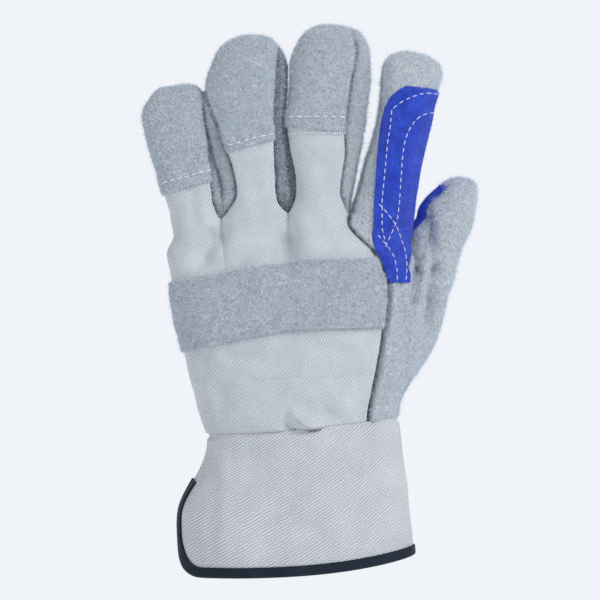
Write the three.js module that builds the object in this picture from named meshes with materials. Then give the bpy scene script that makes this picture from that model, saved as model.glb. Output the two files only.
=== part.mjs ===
// Left-hand work glove of canvas and split leather, with a stiff safety cuff.
// Millimetres. +Z runs up the fingers, -Y is the back of the hand, +X is the thumb side.
// The origin is the centre of the cuff's mouth.

import * as THREE from 'three';

// Walls and clearances
const canvasWall = 1.1;
const leatherWall = 1.5;
const patchWall = 1.2;
const cuffWall = 1.8;
const bindingWall = 1.0;
const clearance = 0.5;
const patchClearance = 0.8;
const tapeClearance = 0.6;

// Hand
const cuffHeight = 68;
const handHeight = 109;
const littleEdge = 60.7;
const thumbEdgeWidth = 19;
const palmDepth = 44;
const thumbSet = 12;
const webDepth = 16;
const crotchDepth = 12.5;

// Fingers: base widths, lengths above the crotches, leans to the thumb side and depths
const littleWidth = 23.8;
const ringWidth = 32.5;
const middleWidth = 30.2;
const indexWidth = 32;
const littleLength = 67.5;
const ringLength = 88;
const middleLength = 92.5;
const indexLength = 95;
const thumbLength = 50.5;
const littleDepth = 22;
const ringDepth = 25;
const middleDepth = 26;
const indexDepth = 26;
const thumbDepth = 26;
const fingerCurl = 8;

// Caps, band and cuff
const capLap = 8;
const bandHeight = 34;
const seamRise = 8.3;
const mouthRise = 10;
const mouthFoot = 1.5;
const cuffFlareLittle = 14;
const cuffFlareThumb = 7;
const cuffMouthDepth = 50;
const slitHeight = 47;
const slitWidth = 5;
const flapCorner = 20;
const bindingWidth = 3.8;

// Shape exponents of the rounded sections
const fingerRound = 2.4;
const handRound = 2.5;

const finishes = {
  canvas: new THREE.MeshStandardMaterial({ color: '#d3d8de', roughness: 0.95 }),
  leather: new THREE.MeshStandardMaterial({ color: '#a9b4bf', roughness: 1 }),
  suede: new THREE.MeshStandardMaterial({ color: '#2c49cf', roughness: 0.95 }),
  cuffCloth: new THREE.MeshStandardMaterial({ color: '#cdd3d9', roughness: 0.9 }),
  binding: new THREE.MeshStandardMaterial({ color: '#1b2634', roughness: 0.8 }),
};

const mix = (a, b, t) => a + (b - a) * t;
const clamp = (v) => Math.min(1, Math.max(0, v));
const ease = (v) => clamp(v) ** 2 * (3 - 2 * clamp(v));
const rounded = (share, power) => Math.max(0, 1 - Math.abs(share) ** power) ** (1 / power);

// A table's column as a smooth curve through its rows
function along(table, column, at) {
  const rows = table.length;
  const t = Math.min(table[rows - 1].at, Math.max(table[0].at, at));
  let i = 0;
  while (i < rows - 2 && t > table[i + 1].at) i += 1;
  const slope = (k) => {
    const low = table[Math.max(0, k - 1)];
    const high = table[Math.min(rows - 1, k + 1)];
    return (high[column] - low[column]) / (high.at - low.at);
  };
  const [a, b] = [table[i], table[i + 1]];
  const span = b.at - a.at;
  const s = (t - a.at) / span;
  const [bend, rise] = [s * s * (3 - 2 * s), s * (1 - s)];
  return mix(a[column], b[column], bend)
    + span * rise * ((1 - s) * slope(i) - s * slope(i + 1));
}

const table = (names, rows) => rows.map((row) => Object.fromEntries(names.map((n, k) => [n, row[k]])));

// Hand outline: shares of the hand's height, of each edge's distance and of the palm's depth
const handRows = table(['at', 'little', 'thumb', 'front', 'back'], [
  [0, 0.72, 0.647, 0.5, 0.5],
  [0.08, 0.76, 0.647, 0.5, 0.5],
  [0.165, 0.803, 0.664, 0.5, 0.51],
  [0.255, 0.857, 0.741, 0.5, 0.52],
  [0.375, 0.908, 0.852, 0.49, 0.52],
  [0.5, 0.964, 0.924, 0.47, 0.51],
  [0.624, 1.002, 0.968, 0.44, 0.48],
  [0.7, 1.003, 1, 0.41, 0.45],
  [0.81, 1.022, 0.95, 0.37, 0.4],
  [0.89, 0.985, 0.87, 0.34, 0.36],
  [0.96, 1, 0.79, 0.32, 0.33],
  [1.02, 1, 0.75, 0.31, 0.32],
]);

// Seam between canvas and leather: shares of its length from the crotch down, and of the little
// finger edge's distance
const seamRows = table(['at', 'across'], [
  [0, 0.435],
  [0.06, 0.435],
  [0.125, 0.535],
  [0.18, 0.63],
  [0.27, 0.705],
  [0.34, 0.742],
  [0.45, 0.736],
  [0.6, 0.7],
  [0.75, 0.662],
  [0.9, 0.6],
  [1, 0.577],
]);

// Finger sections: share of the length, then outline and seam to the left and right of the axis
// as shares of the finger's base
const sectionNames = ['at', 'left', 'right', 'seamLeft', 'seamRight'];
const littleRows = table(sectionNames, [
  [0, 0.5, 0.55, 0.5, 0.5],
  [0.05, 0.5, 0.54, 0.5, 0.46],
  [0.1, 0.51, 0.54, 0.51, 0.43],
  [0.2, 0.58, 0.575, 0.58, 0.43],
  [0.3, 0.635, 0.55, 0.635, 0.43],
  [0.4, 0.695, 0.5, 0.695, 0.43],
  [0.5, 0.74, 0.475, 0.74, 0.44],
  [0.6, 0.77, 0.46, 0.77, 0.44],
  [0.7, 0.795, 0.455, 0.795, 0.43],
  [0.8, 0.8, 0.465, 0.8, 0.44],
  [0.88, 0.72, 0.47, 0.72, 0.47],
  [0.94, 0.585, 0.415, 0.585, 0.415],
  [0.98, 0.46, 0.29, 0.46, 0.29],
  [1, 0.33, 0.14, 0.33, 0.14],
]);
const ringRows = table(sectionNames, [
  [0, 0.55, 0.55, 0.5, 0.5],
  [0.05, 0.46, 0.55, 0.37, 0.4],
  [0.1, 0.44, 0.55, 0.3, 0.37],
  [0.2, 0.47, 0.535, 0.31, 0.36],
  [0.3, 0.55, 0.505, 0.37, 0.36],
  [0.4, 0.61, 0.48, 0.45, 0.36],
  [0.5, 0.665, 0.465, 0.54, 0.35],
  [0.6, 0.695, 0.475, 0.63, 0.36],
  [0.7, 0.68, 0.505, 0.68, 0.38],
  [0.8, 0.62, 0.52, 0.62, 0.41],
  [0.88, 0.52, 0.495, 0.52, 0.43],
  [0.94, 0.41, 0.42, 0.41, 0.42],
  [0.98, 0.26, 0.32, 0.26, 0.32],
  [1, 0.1, 0.19, 0.1, 0.19],
]);
const middleRows = table(sectionNames, [
  [0, 0.55, 0.55, 0.5, 0.5],
  [0.05, 0.48, 0.51, 0.44, 0.42],
  [0.1, 0.45, 0.53, 0.42, 0.37],
  [0.2, 0.5, 0.56, 0.46, 0.375],
  [0.3, 0.575, 0.585, 0.54, 0.4],
  [0.4, 0.62, 0.625, 0.605, 0.375],
  [0.5, 0.61, 0.67, 0.61, 0.365],
  [0.6, 0.605, 0.69, 0.605, 0.385],
  [0.7, 0.6, 0.695, 0.6, 0.41],
  [0.8, 0.595, 0.685, 0.595, 0.45],
  [0.88, 0.51, 0.645, 0.51, 0.455],
  [0.94, 0.4, 0.56, 0.4, 0.38],
  [0.98, 0.24, 0.46, 0.24, 0.33],
  [1, 0.08, 0.3, 0.08, 0.3],
]);
const indexRows = table(sectionNames, [
  [0, 0.53, 0.53, 0.5, 0.5],
  [0.05, 0.45, 0.4, 0.43, 0.37],
  [0.1, 0.425, 0.33, 0.405, 0.3],
  [0.2, 0.4, 0.28, 0.385, 0.25],
  [0.3, 0.37, 0.275, 0.355, 0.24],
  [0.4, 0.34, 0.27, 0.325, 0.235],
  [0.5, 0.3, 0.283, 0.285, 0.245],
  [0.6, 0.29, 0.305, 0.28, 0.265],
  [0.7, 0.29, 0.317, 0.28, 0.28],
  [0.8, 0.3, 0.34, 0.29, 0.3],
  [0.88, 0.31, 0.38, 0.305, 0.355],
  [0.94, 0.285, 0.345, 0.285, 0.34],
  [0.98, 0.17, 0.23, 0.17, 0.23],
  [1, 0.075, 0.13, 0.075, 0.13],
]);
const thumbRows = table(sectionNames, [
  [0, 0.53, 0.5, 0.5, 0.5],
  [0.1, 0.46, 0.495, 0.4, 0.495],
  [0.2, 0.52, 0.5, 0.4, 0.5],
  [0.3, 0.6, 0.51, 0.44, 0.51],
  [0.4, 0.66, 0.545, 0.48, 0.545],
  [0.5, 0.72, 0.59, 0.52, 0.59],
  [0.6, 0.76, 0.61, 0.54, 0.61],
  [0.7, 0.68, 0.61, 0.46, 0.61],
  [0.8, 0.54, 0.575, 0.35, 0.575],
  [0.88, 0.41, 0.53, 0.26, 0.53],
  [0.94, 0.28, 0.47, 0.21, 0.47],
  [0.98, 0.12, 0.41, 0.12, 0.41],
  [1, 0, 0.3, 0, 0.3],
]);

// Folds pressed into the back of the hand: ends as shares of the little finger edge's distance
// and of the whole hand's height above the mouth, then width and depth in shares of canvas bulge
const foldDepth = 2.2;
const foldWidth = 5;
const foldRows = table(['x0', 'z0', 'x1', 'z1', 'wide', 'deep'], [
  [-0.61, 0.985, -0.76, 0.9, 1, 1],
  [-0.07, 0.985, -0.1, 0.93, 1.6, 0.9],
  [-0.74, 0.6, -0.75, 0.55, 0.7, 0.5],
  [1.11, 0.83, 1.07, 0.62, 0.55, 0.7],
  [0.86, 0.77, 0.87, 0.5, 0.8, 0.4],
]);

const handTop = cuffHeight + handHeight;

// Distance pressed in at a point of the back of the hand
function foldsAt(x, z) {
  let pressed = 0;
  for (const f of foldRows) {
    const [x0, x1] = [f.x0 * littleEdge, f.x1 * littleEdge];
    const [z0, z1] = [f.z0 * handTop, f.z1 * handTop];
    const [dx, dz] = [x1 - x0, z1 - z0];
    const t = clamp(((x - x0) * dx + (z - z0) * dz) / (dx * dx + dz * dz));
    const off = Math.hypot(x - x0 - t * dx, z - z0 - t * dz);
    pressed += f.deep * foldDepth * Math.exp(-((off / (f.wide * foldWidth)) ** 2));
  }
  return pressed;
}

// Seam corners from the little finger's edge to the thumb's outer edge, at the crotches' height.
// Each has a place on the back of the hand and one on the palm side.
function corner(x, rise, middle, depth) {
  return { x, z: cuffHeight + handHeight * rise, front: middle - depth / 2, back: middle + depth / 2 };
}
const corners = [corner(-littleEdge, 0.951, 0, 0)];
corners.push(corner(corners[0].x + littleWidth, 0.982, 0, crotchDepth));
corners.push(corner(corners[1].x + ringWidth, 1.008, 0, crotchDepth));
corners.push(corner(corners[2].x + middleWidth, 1, 0, crotchDepth));
corners.push(corner(corners[3].x + indexWidth, 0.741, thumbSet / 2, webDepth));
corners.push(corner(corners[4].x + thumbEdgeWidth, 0.697, thumbSet, 0));
const thumbEdge = corners[5].x;

const fingers = [
  { rows: littleRows, length: littleLength, lean: -8.1, depth: littleDepth, set: 0 },
  { rows: ringRows, length: ringLength, lean: -1.7, depth: ringDepth, set: 0 },
  { rows: middleRows, length: middleLength, lean: 3.6, depth: middleDepth, set: 0 },
  { rows: indexRows, length: indexLength, lean: 9.1, depth: indexDepth, set: 0 },
  { rows: thumbRows, length: thumbLength, lean: 15.2, depth: thumbDepth, set: thumbSet },
];

// Sizes of one finger's section: the tip's rounding, and the shares of the length over which the
// section turns from the crotch line, the thumb moves forward, and the sides and depths open out
const tipStart = 0.78;
const tipRound = 2.2;
const fanLength = 0.25;
const fanPower = 1.5;
const setLength = 0.35;
const webLength = 0.08;
const baseLength = 0.12;
function section(k, s) {
  const f = fingers[k];
  const [low, high] = [corners[k], corners[k + 1]];
  const lean = THREE.MathUtils.degToRad(f.lean);
  const baseTurn = Math.atan2(low.z - high.z, high.x - low.x);
  const turn = lean + (baseTurn - lean) * (1 - clamp(s / fanLength)) ** fanPower;
  const base = Math.hypot(high.x - low.x, high.z - low.z);
  const size = (name) => along(f.rows, name, s) * base;
  return {
    x: (low.x + high.x) / 2 + Math.sin(lean) * f.length * s,
    z: (low.z + high.z) / 2 + Math.cos(lean) * f.length * s,
    acrossX: Math.cos(turn),
    acrossZ: -Math.sin(turn),
    left: size('left'),
    right: size('right'),
    seamLeft: Math.min(size('seamLeft'), size('left')),
    seamRight: Math.min(size('seamRight'), size('right')),
    half: (f.depth / 2) * (s > tipStart ? rounded((s - tipStart) / (1 - tipStart), tipRound) : 1),
  };
}

// Middle surface of a finger between its back and its palm side
function fingerMiddle(k, s, c, sec) {
  const [low, high] = [corners[k], corners[k + 1]];
  const share = clamp((c + sec.seamLeft) / (sec.seamLeft + sec.seamRight));
  const base = mix((low.front + low.back) / 2, (high.front + high.back) / 2, share);
  return mix(base, fingers[k].set, ease(s / setLength)) + fingerCurl * s * s;
}

// Depth at distance c across the section, on the back (-1) or the palm side (1)
function fingerY(k, s, c, sign, sec) {
  const middle = fingerMiddle(k, s, c, sec);
  const surface = (d) => sec.half * rounded(d / (d < 0 ? sec.left : sec.right), fingerRound);
  const end = c < 0 ? corners[k] : corners[k + 1];
  const seam = c < 0 ? -sec.seamLeft : sec.seamRight;
  const wanted = sign < 0 ? end.front : end.back;
  const pull = wanted - (fingerMiddle(k, s, seam, sec) + sign * surface(seam));
  const share = Math.abs(c / seam);
  return middle + sign * surface(c) + pull * share ** 2 * (1 - ease(s / baseLength));
}

// A point of a finger: side front runs left to right, right runs to the palm side, back runs
// right to left and left runs to the back of the hand
function fingerPoint(k, side, t, s) {
  const sec = section(k, s);
  let c;
  let y;
  if (side === 'front' || side === 'back') {
    c = mix(-sec.seamLeft, sec.seamRight, side === 'front' ? t : 1 - t);
    y = fingerY(k, s, c, side === 'front' ? -1 : 1, sec);
  } else {
    const way = side === 'right' ? 1 : -1;
    const seam = side === 'right' ? sec.seamRight : sec.seamLeft;
    const reach = side === 'right' ? sec.right : sec.left;
    const yFront = fingerY(k, s, way * seam, -1, sec);
    const yBack = fingerY(k, s, way * seam, 1, sec);
    y = side === 'right' ? mix(yFront, yBack, t) : mix(yBack, yFront, t);
    c = way * (seam + (reach - seam) * ease(s / webLength) * (1 - (2 * t - 1) ** 2));
  }
  return new THREE.Vector3(sec.x + sec.acrossX * c, y, sec.z + sec.acrossZ * c);
}

const edgeLittle = (rise) => -along(handRows, 'little', rise) * littleEdge;
const edgeThumb = (rise) => along(handRows, 'thumb', rise) * thumbEdge;

// Depth of the hand at x and z, on the back (-1) or the palm side (1)
const setStart = 0.2;
const setRise = 0.65;
function handY(x, z, sign) {
  const rise = (z - cuffHeight) / handHeight;
  const [low, high] = [edgeLittle(rise), edgeThumb(rise)];
  const share = Math.min(1, Math.max(-1, (2 * x - low - high) / (high - low)));
  const depth = along(handRows, sign < 0 ? 'front' : 'back', rise) * palmDepth;
  const set = thumbSet * ease((share - setStart) / (1 - setStart)) * ease(rise / setRise);
  return set + sign * depth * rounded(share, handRound);
}

const footLow = edgeLittle(0);
const footHigh = edgeThumb(seamRise / handHeight);
const seamCurve = 1.6;
const seamZ = (x) => cuffHeight + seamRise * clamp((x - footLow) / (footHigh - footLow)) ** seamCurve;

// Lines that run down from the crotches to the cuff's seam. The outer two leave the fingers'
// base corners at once for the hand's outline.
const cornerFade = 40;
const footShares = [0, 0.16, 0.43, 0.842, 0.94, 1];
function linePoint(k, w) {
  const top = corners[k];
  const footX = mix(footLow, footHigh, footShares[k]);
  const z = mix(top.z, seamZ(footX), w);
  const rise = (z - cuffHeight) / handHeight;
  if (k === 0) return { x: mix(edgeLittle(rise), top.x, (1 - w) ** cornerFade), z };
  if (k === 5) return { x: mix(edgeThumb(rise), top.x, (1 - w) ** cornerFade), z };
  if (k === 3) {
    const rowEnd = seamRows[seamRows.length - 1].across * littleEdge;
    const bent = along(seamRows, 'across', w) * littleEdge;
    const slide = mix(top.x - seamRows[0].across * littleEdge, footX - rowEnd, w);
    return { x: bent + slide, z };
  }
  return { x: mix(top.x, footX, w), z };
}

// A point of the hand between line k and the next one
const blendShare = 0.3;
const foldStart = 0.06;
const foldEdge = 2;
const stepEdge = 20;
function handPoint(k, sign, u, wLow, wHigh) {
  const low = linePoint(k, wLow);
  const high = linePoint(k + 1, wHigh);
  const [x, z] = [mix(low.x, high.x, u), mix(low.z, high.z, u)];
  const w = mix(wLow, wHigh, u);
  const top = fingerPoint(k, sign < 0 ? 'front' : 'back', sign < 0 ? u : 1 - u, 0);
  const fromEdge = k === 0 ? u : k === 4 ? 1 - u : 1;
  const step = (top.y - handY(top.x, top.z, sign)) * clamp(fromEdge * stepEdge);
  const folded = sign < 0 ? foldsAt(x, z) * ease(w / foldStart) * ease(fromEdge * foldEdge) : 0;
  return new THREE.Vector3(x, handY(x, z, sign) + step * (1 - ease(w / blendShare)) + folded, z);
}

// Rows of faces down the hand: on the lines up to the canvas's seam, and on those beside the
// thumb, which start lower
const rowsDown = [0, 0.04, 0.1, 0.18, 0.27, 0.34, 0.43, 0.54, 0.66, 0.78, 0.89, 1];
const thumbRowsDown = [0, 0.01, 0.02, 0.03, 0.045, 0.06, 0.18, 0.33, 0.5, 0.67, 0.84, 1];

// A row's share on one line, given its share on another
function matching(from, to, w) {
  let i = 0;
  while (i < from.length - 2 && w > from[i + 1]) i += 1;
  return mix(to[i], to[i + 1], (w - from[i]) / (from[i + 1] - from[i]));
}

// Places on the skin, on a finger or on the hand
const onFinger = (k, side, t, s) => ({ k, side, t, s });
const onHand = (k, sign, u, low, high) => ({ k, sign, u, low, high });
const pointOf = (d) => (d.side
  ? fingerPoint(d.k, d.side, d.t, d.s)
  : handPoint(d.k, d.sign, d.u, d.low, d.high));

const ringOrder = ['front', 'right', 'back', 'left'];
const seamWidth = 0.2;
function besideOnRing(d) {
  const way = d.t === 1 ? 1 : -1;
  for (let step = 1; step < 4; step += 1) {
    const side = ringOrder[(ringOrder.indexOf(d.side) + way * step + 4) % 4];
    const width = fingerPoint(d.k, side, 0, d.s).distanceTo(fingerPoint(d.k, side, 1, d.s));
    if (width > seamWidth) return onFinger(d.k, side, way > 0 ? 0 : 1, d.s);
  }
  return d;
}

// The same place as the strips beside it name it
function sharedPlaces(d) {
  const list = [];
  if (d.side) {
    const wide = d.side === 'front' || d.side === 'back';
    if (d.t === 0 || d.t === 1) list.push(besideOnRing(d));
    if (d.s === 1 && wide) list.push(onFinger(d.k, d.side === 'front' ? 'back' : 'front', 1 - d.t, 1));
    if (d.s === 0 && wide) {
      list.push(onHand(d.k, d.side === 'front' ? -1 : 1, d.side === 'front' ? d.t : 1 - d.t, 0, 0));
    }
    if (d.s === 0 && d.side === 'right' && d.k < 4) list.push(onFinger(d.k + 1, 'left', 1 - d.t, 0));
    if (d.s === 0 && d.side === 'left' && d.k > 0) list.push(onFinger(d.k - 1, 'right', 1 - d.t, 0));
    return list;
  }
  if (d.u === 0) {
    const [k, u, sign] = d.k > 0 ? [d.k - 1, 1, d.sign] : [0, 0, -d.sign];
    list.push(onHand(k, sign, u, k === 3 ? matching(thumbRowsDown, rowsDown, d.low) : d.low, d.low));
  }
  if (d.u === 1) {
    const [k, u, sign] = d.k < 4 ? [d.k + 1, 0, d.sign] : [4, 1, -d.sign];
    list.push(onHand(k, sign, u, d.high, k === 3 ? matching(rowsDown, thumbRowsDown, d.high) : d.high));
  }
  if (d.low === 0 && d.high === 0) {
    list.push(onFinger(d.k, d.sign < 0 ? 'front' : 'back', d.sign < 0 ? d.u : 1 - d.u, 0));
  }
  return list;
}

// Outward direction of one strip, measured just inside its edges
const probe = 0.01;
function stripNormal(d) {
  const range = (v) => [Math.max(0, v - probe), Math.min(1, v + probe)];
  const middle = (pair) => (pair[0] + pair[1]) / 2;
  if (d.side) {
    const [ts, ss] = [range(d.t), range(d.s)];
    const cross = ts.map((t) => fingerPoint(d.k, d.side, t, middle(ss)));
    const up = ss.map((s) => fingerPoint(d.k, d.side, middle(ts), s));
    return cross[1].sub(cross[0]).cross(up[1].sub(up[0])).normalize();
  }
  const [us, lows, highs] = [range(clamp(d.u)), range(d.low), range(d.high)];
  const cross = us.map((u) => handPoint(d.k, d.sign, u, middle(lows), middle(highs)));
  const down = [0, 1].map((i) => handPoint(d.k, d.sign, middle(us), lows[i], highs[i]));
  return down[1].sub(down[0]).cross(cross[1].sub(cross[0])).multiplyScalar(-d.sign).normalize();
}

const nameOf = (d) => Object.values(d).map((v) => (typeof v === 'number' ? v.toFixed(5) : v)).join(' ');
function normalOf(place) {
  const seen = new Map([[nameOf(place), place]]);
  for (const d of seen.values()) {
    sharedPlaces(d).forEach((other) => seen.set(nameOf(other), other));
  }
  const sum = new THREE.Vector3();
  for (const d of seen.values()) sum.add(stripNormal(d));
  return sum.normalize();
}

// Grids of four-sided faces. A vertex has its place, its outward direction and how far it is
// lifted off the skin.
function grid(rows, columns, vertexAt) {
  const points = rows.map((r) => columns.map((c) => vertexAt(r, c)));
  const faces = [];
  for (let i = 0; i < rows.length - 1; i += 1) {
    for (let j = 0; j < columns.length - 1; j += 1) {
      faces.push([points[i][j], points[i][j + 1], points[i + 1][j + 1], points[i + 1][j]]);
    }
  }
  return faces;
}
const skinVertex = (d, lift = 0) => ({ p: pointOf(d), normal: normalOf(d), lift });

const keyOf = (p) => [p.x, p.y, p.z].map((v) => Math.round(v * 1e3)).join(' ');

// A wall: the faces, the same faces moved in by the wall, and rims along every open edge.
// Open edges are drawn back from the neighbours by half the clearance.
const leastPull = 0.25;
function wall(faces, thickness) {
  const index = new Map();
  const vertices = [];
  const rings = faces.map((face) => face.map((v) => {
    const key = keyOf(v.p);
    if (!index.has(key)) {
      index.set(key, vertices.length);
      vertices.push(v);
    }
    return index.get(key);
  }).filter((v, i, ring) => v !== ring[(i + 1) % ring.length])).filter((ring) => ring.length > 2);
  const used = new Map();
  for (const ring of rings) {
    ring.forEach((v, i) => used.set(`${v} ${ring[(i + 1) % ring.length]}`, ring));
  }
  const edges = [...used.keys()].map((k) => k.split(' ').map(Number));
  const open = edges.filter(([a, b]) => !used.has(`${b} ${a}`));
  const places = vertices.map((v) => v.p);
  const pulls = places.map(() => []);
  for (const [a, b] of open) {
    const ring = used.get(`${a} ${b}`);
    const middle = ring.reduce((sum, v) => sum.add(places[v]), new THREE.Vector3()).divideScalar(ring.length);
    const edge = new THREE.Vector3().subVectors(places[b], places[a]).normalize();
    const inside = new THREE.Vector3().subVectors(middle, places[a]);
    inside.addScaledVector(edge, -inside.dot(edge)).normalize();
    pulls[a].push(inside);
    pulls[b].push(inside);
  }
  const outer = [];
  const inner = [];
  places.forEach((p, i) => {
    const { normal, lift } = vertices[i];
    const shift = new THREE.Vector3();
    if (pulls[i].length > 0) {
      pulls[i].forEach((d) => shift.add(d));
      const size = Math.max(leastPull, shift.lengthSq() / pulls[i].length);
      shift.multiplyScalar(clearance / 2 / size);
    }
    const seat = p.clone().add(shift);
    outer.push(seat.clone().addScaledVector(normal, lift));
    inner.push(seat.clone().addScaledVector(normal, lift - thickness));
  });
  const count = places.length;
  const triangles = [];
  for (const ring of rings) {
    for (let i = 1; i < ring.length - 1; i += 1) {
      triangles.push([ring[0], ring[i], ring[i + 1]]);
      triangles.push([ring[0] + count, ring[i + 1] + count, ring[i] + count]);
    }
  }
  for (const [a, b] of open) {
    triangles.push([b, a, a + count]);
    triangles.push([b, a + count, b + count]);
  }
  return solid([...outer, ...inner], triangles);
}

function solid(points, triangles) {
  const geometry = new THREE.BufferGeometry();
  geometry.setAttribute('position', new THREE.Float32BufferAttribute(points.flatMap((p) => p.toArray()), 3));
  geometry.setIndex(triangles.flat());
  geometry.computeVertexNormals();
  return geometry;
}

function mesh(name, geometry, material) {
  const piece = new THREE.Mesh(geometry, material);
  piece.name = name;
  return piece;
}

// Columns across a strip, close together near its edges
const even = (steps) => Array.from({ length: steps + 1 }, (_, i) => i / steps);
const across = (steps) => even(steps).map((t) => 0.5 - 0.5 * Math.cos(Math.PI * t));
const reversed = (list) => [...list].reverse();

const stripColumns = across(6);
const sideColumns = even(3);
const rowsUp = [0, 0.025, 0.05, 0.1, 0.2, 0.3, 0.4, 0.5, 0.6, 0.7, 0.8, 0.88, 0.94, 0.98, 1];
// The strip of a finger between two heights
function strip(k, side, rows) {
  const columns = side === 'front' || side === 'back' ? stripColumns : sideColumns;
  return grid(rows, columns, (s, t) => skinVertex(onFinger(k, side, t, s)));
}

// The hand's skin between two lines, back of the hand or palm side
function handStrip(k, sign, rows) {
  const columns = sign < 0 ? stripColumns : reversed(stripColumns);
  return grid(reversed(rows), columns, ([low, high], u) => skinVertex(onHand(k, sign, u, low, high)));
}

const levelRows = rowsDown.map((w) => [w, w]);
const thumbLevelRows = thumbRowsDown.map((w) => [w, w]);

// Leather beside the canvas fans out from the index finger's slanting base. The index finger's
// own leather ends under the suede.
const fanRows = rowsDown.map((w, i) => [w, thumbRowsDown[i]]);
const indexEnd = 5;

// Where each fingertip's leather starts on the canvas, as a share of the finger's length
const capStart = { little: [0.215, 0.262], ring: [0.337, 0.407], middle: [0.437, 0.422] };
const capNames = ['little', 'ring', 'middle'];

// A cap's slanting edge stays at its own height on the left and right
function capRows(k) {
  const [low, high] = capStart[capNames[k]];
  return { low, high, lap: capLap / fingers[k].length };
}
function slantedRow(k, row, t) {
  const { low, high } = capRows(k);
  return mix(low, high, t) + row;
}

// Where the cap comes down from the canvas to the skin
const capStep = 1.6;
const capFade = (k) => capStep / fingers[k].length;
const rowSpacing = 0.03;

// Canvas strip of a finger up to the end of the cap's lap
function canvasStrip(k) {
  const { low, high, lap } = capRows(k);
  const lowest = Math.min(low, high);
  const plain = rowsUp.filter((s) => s < lowest - rowSpacing).map((s) => ({ s }));
  const ends = [0, 0.5, 1].map((share) => ({ lap: share * (lap - capFade(k)) }));
  return grid([...plain, ...ends], stripColumns, (row, t) => {
    return skinVertex(onFinger(k, 'front', t, row.s ?? slantedRow(k, row.lap, t)));
  });
}

function capGrid(k) {
  const { low, high, lap } = capRows(k);
  const lapRows = [0, 0.5, 1].map((share) => ({ lap: share * (lap - capFade(k)), raised: 1 }));
  const start = lap + capFade(k);
  const plain = rowsUp.filter((s) => s > Math.max(low, high) + start + rowSpacing);
  const rows = [...lapRows, { lap: start, raised: 0 }, ...plain.map((s) => ({ s, raised: 0 }))];
  return grid(rows, stripColumns, (row, t) => {
    const place = onFinger(k, 'front', t, row.s ?? slantedRow(k, row.lap, t));
    return skinVertex(place, row.raised * (clearance + leatherWall));
  });
}

// Leather strip between two fingers: down one finger's side and up the next one's
function gusset(k) {
  return [...strip(k, 'right', rowsUp), ...strip(k + 1, 'left', rowsUp)];
}

const skin = {
  back_panel: [0, 1, 2].flatMap((k) => [...canvasStrip(k), ...handStrip(k, -1, levelRows)]),
  gusset_little_ring: gusset(0),
  gusset_ring_middle: gusset(1),
  gusset_middle_index: gusset(2),
  palm_panel: [
    ...[0, 1, 2].flatMap((k) => [...strip(k, 'back', rowsUp), ...handStrip(k, 1, levelRows)]),
    ...handStrip(3, 1, fanRows),
    ...handStrip(4, 1, thumbLevelRows),
  ],
  index_finger: [
    ...handStrip(3, -1, fanRows.slice(0, indexEnd + 1)),
    ...['front', 'right', 'back'].flatMap((side) => strip(3, side, rowsUp)),
  ],
  thumb: [
    ...handStrip(3, -1, fanRows.slice(indexEnd)),
    ...handStrip(4, -1, thumbLevelRows),
    ...['front', 'back', 'left'].flatMap((side) => strip(4, side, rowsUp)),
  ],
};
const caps = capNames.map((name, k) => capGrid(k));

const glove = new THREE.Group();
const add = (name, faces, thickness, finish) => glove.add(mesh(name, wall(faces, thickness), finish));
for (const [name, faces] of Object.entries(skin)) {
  if (name === 'back_panel') add(name, faces, canvasWall, finishes.canvas);
  else add(name, faces, leatherWall, finishes.leather);
}
caps.forEach((faces, k) => add(`fingertip_${capNames[k]}`, faces, leatherWall, finishes.leather));

// Leather band across the knuckles: its top edge's height at the columns' lines, as shares of
// the hand's height
const bandTop = [0.69, 0.735, 0.785, 0.798];
function bandShare(k, u, row) {
  const [low, high] = [linePoint(k, 0), linePoint(k + 1, 0)];
  const [lowFoot, highFoot] = [linePoint(k, 1), linePoint(k + 1, 1)];
  const top = cuffHeight + handHeight * mix(bandTop[k], bandTop[k + 1], u);
  const start = mix(low.z, high.z, u);
  return (start - top + row * bandHeight) / (start - mix(lowFoot.z, highFoot.z, u));
}
const bandEnd = 0.96;
const bandGrid = (k) => grid(even(4), stripColumns, (row, share) => {
  const u = k === 2 ? share * bandEnd : share;
  const w = bandShare(k, u, 1 - row);
  return skinVertex(onHand(k, -1, u, w, w), patchClearance + leatherWall);
});
add('knuckle_band', [0, 1, 2].flatMap(bandGrid), leatherWall, finishes.leather);

// Suede on the index finger: it starts over the seam with the canvas and wraps round the
// finger's thumb side. Rows: height as a share of the finger, or below 0 of the leather under
// it, then left and right edge as shares round the finger, where 0 is the left seam, 1 the
// right edge of the back and 2 the right edge of the palm side
const patchRows = table(['at', 'left', 'right'], [
  [-1, 0.01, 0.86],
  [-0.75, 0.01, 0.88],
  [-0.5, 0.13, 0.9],
  [-0.25, 0.33, 0.93],
  [0, 0.34, 0.97],
  [0.03, 0.355, 1],
  [0.08, 0.36, 1.4],
  [0.14, 0.35, 2],
  [0.22, 0.32, 2.4],
  [0.4, 0.2, 2.5],
  [0.5, 0.12, 2.5],
  [0.6, 0.085, 2.5],
  [0.7, 0.13, 2.5],
  [0.76, 0.24, 2.45],
  [0.8, 0.45, 2.3],
]);
const patchTopSlope = 0.025;
const patchFoot = [0.335, 0.075];
function indexAround(q, v) {
  if (v <= 0) return onHand(3, -1, q, patchFoot[0] * -v, patchFoot[1] * -v);
  if (q <= 1) return onFinger(3, 'front', q, v);
  if (q <= 2) return onFinger(3, 'right', q - 1, v);
  return onFinger(3, 'back', q - 2, v);
}
const patchHeights = [
  -1, -0.75, -0.5, -0.25, 0, 0.05, 0.1, 0.15, 0.2, 0.3, 0.4, 0.5, 0.6, 0.7, 0.76, 0.8,
];
const patchColumns = [...stripColumns, ...sideColumns.map((t) => t + 1), ...stripColumns.map((t) => t + 2)];
const patchLift = patchClearance + patchWall;
const patchAcross = patchColumns.filter((q, i) => q !== patchColumns[i - 1]);
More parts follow.
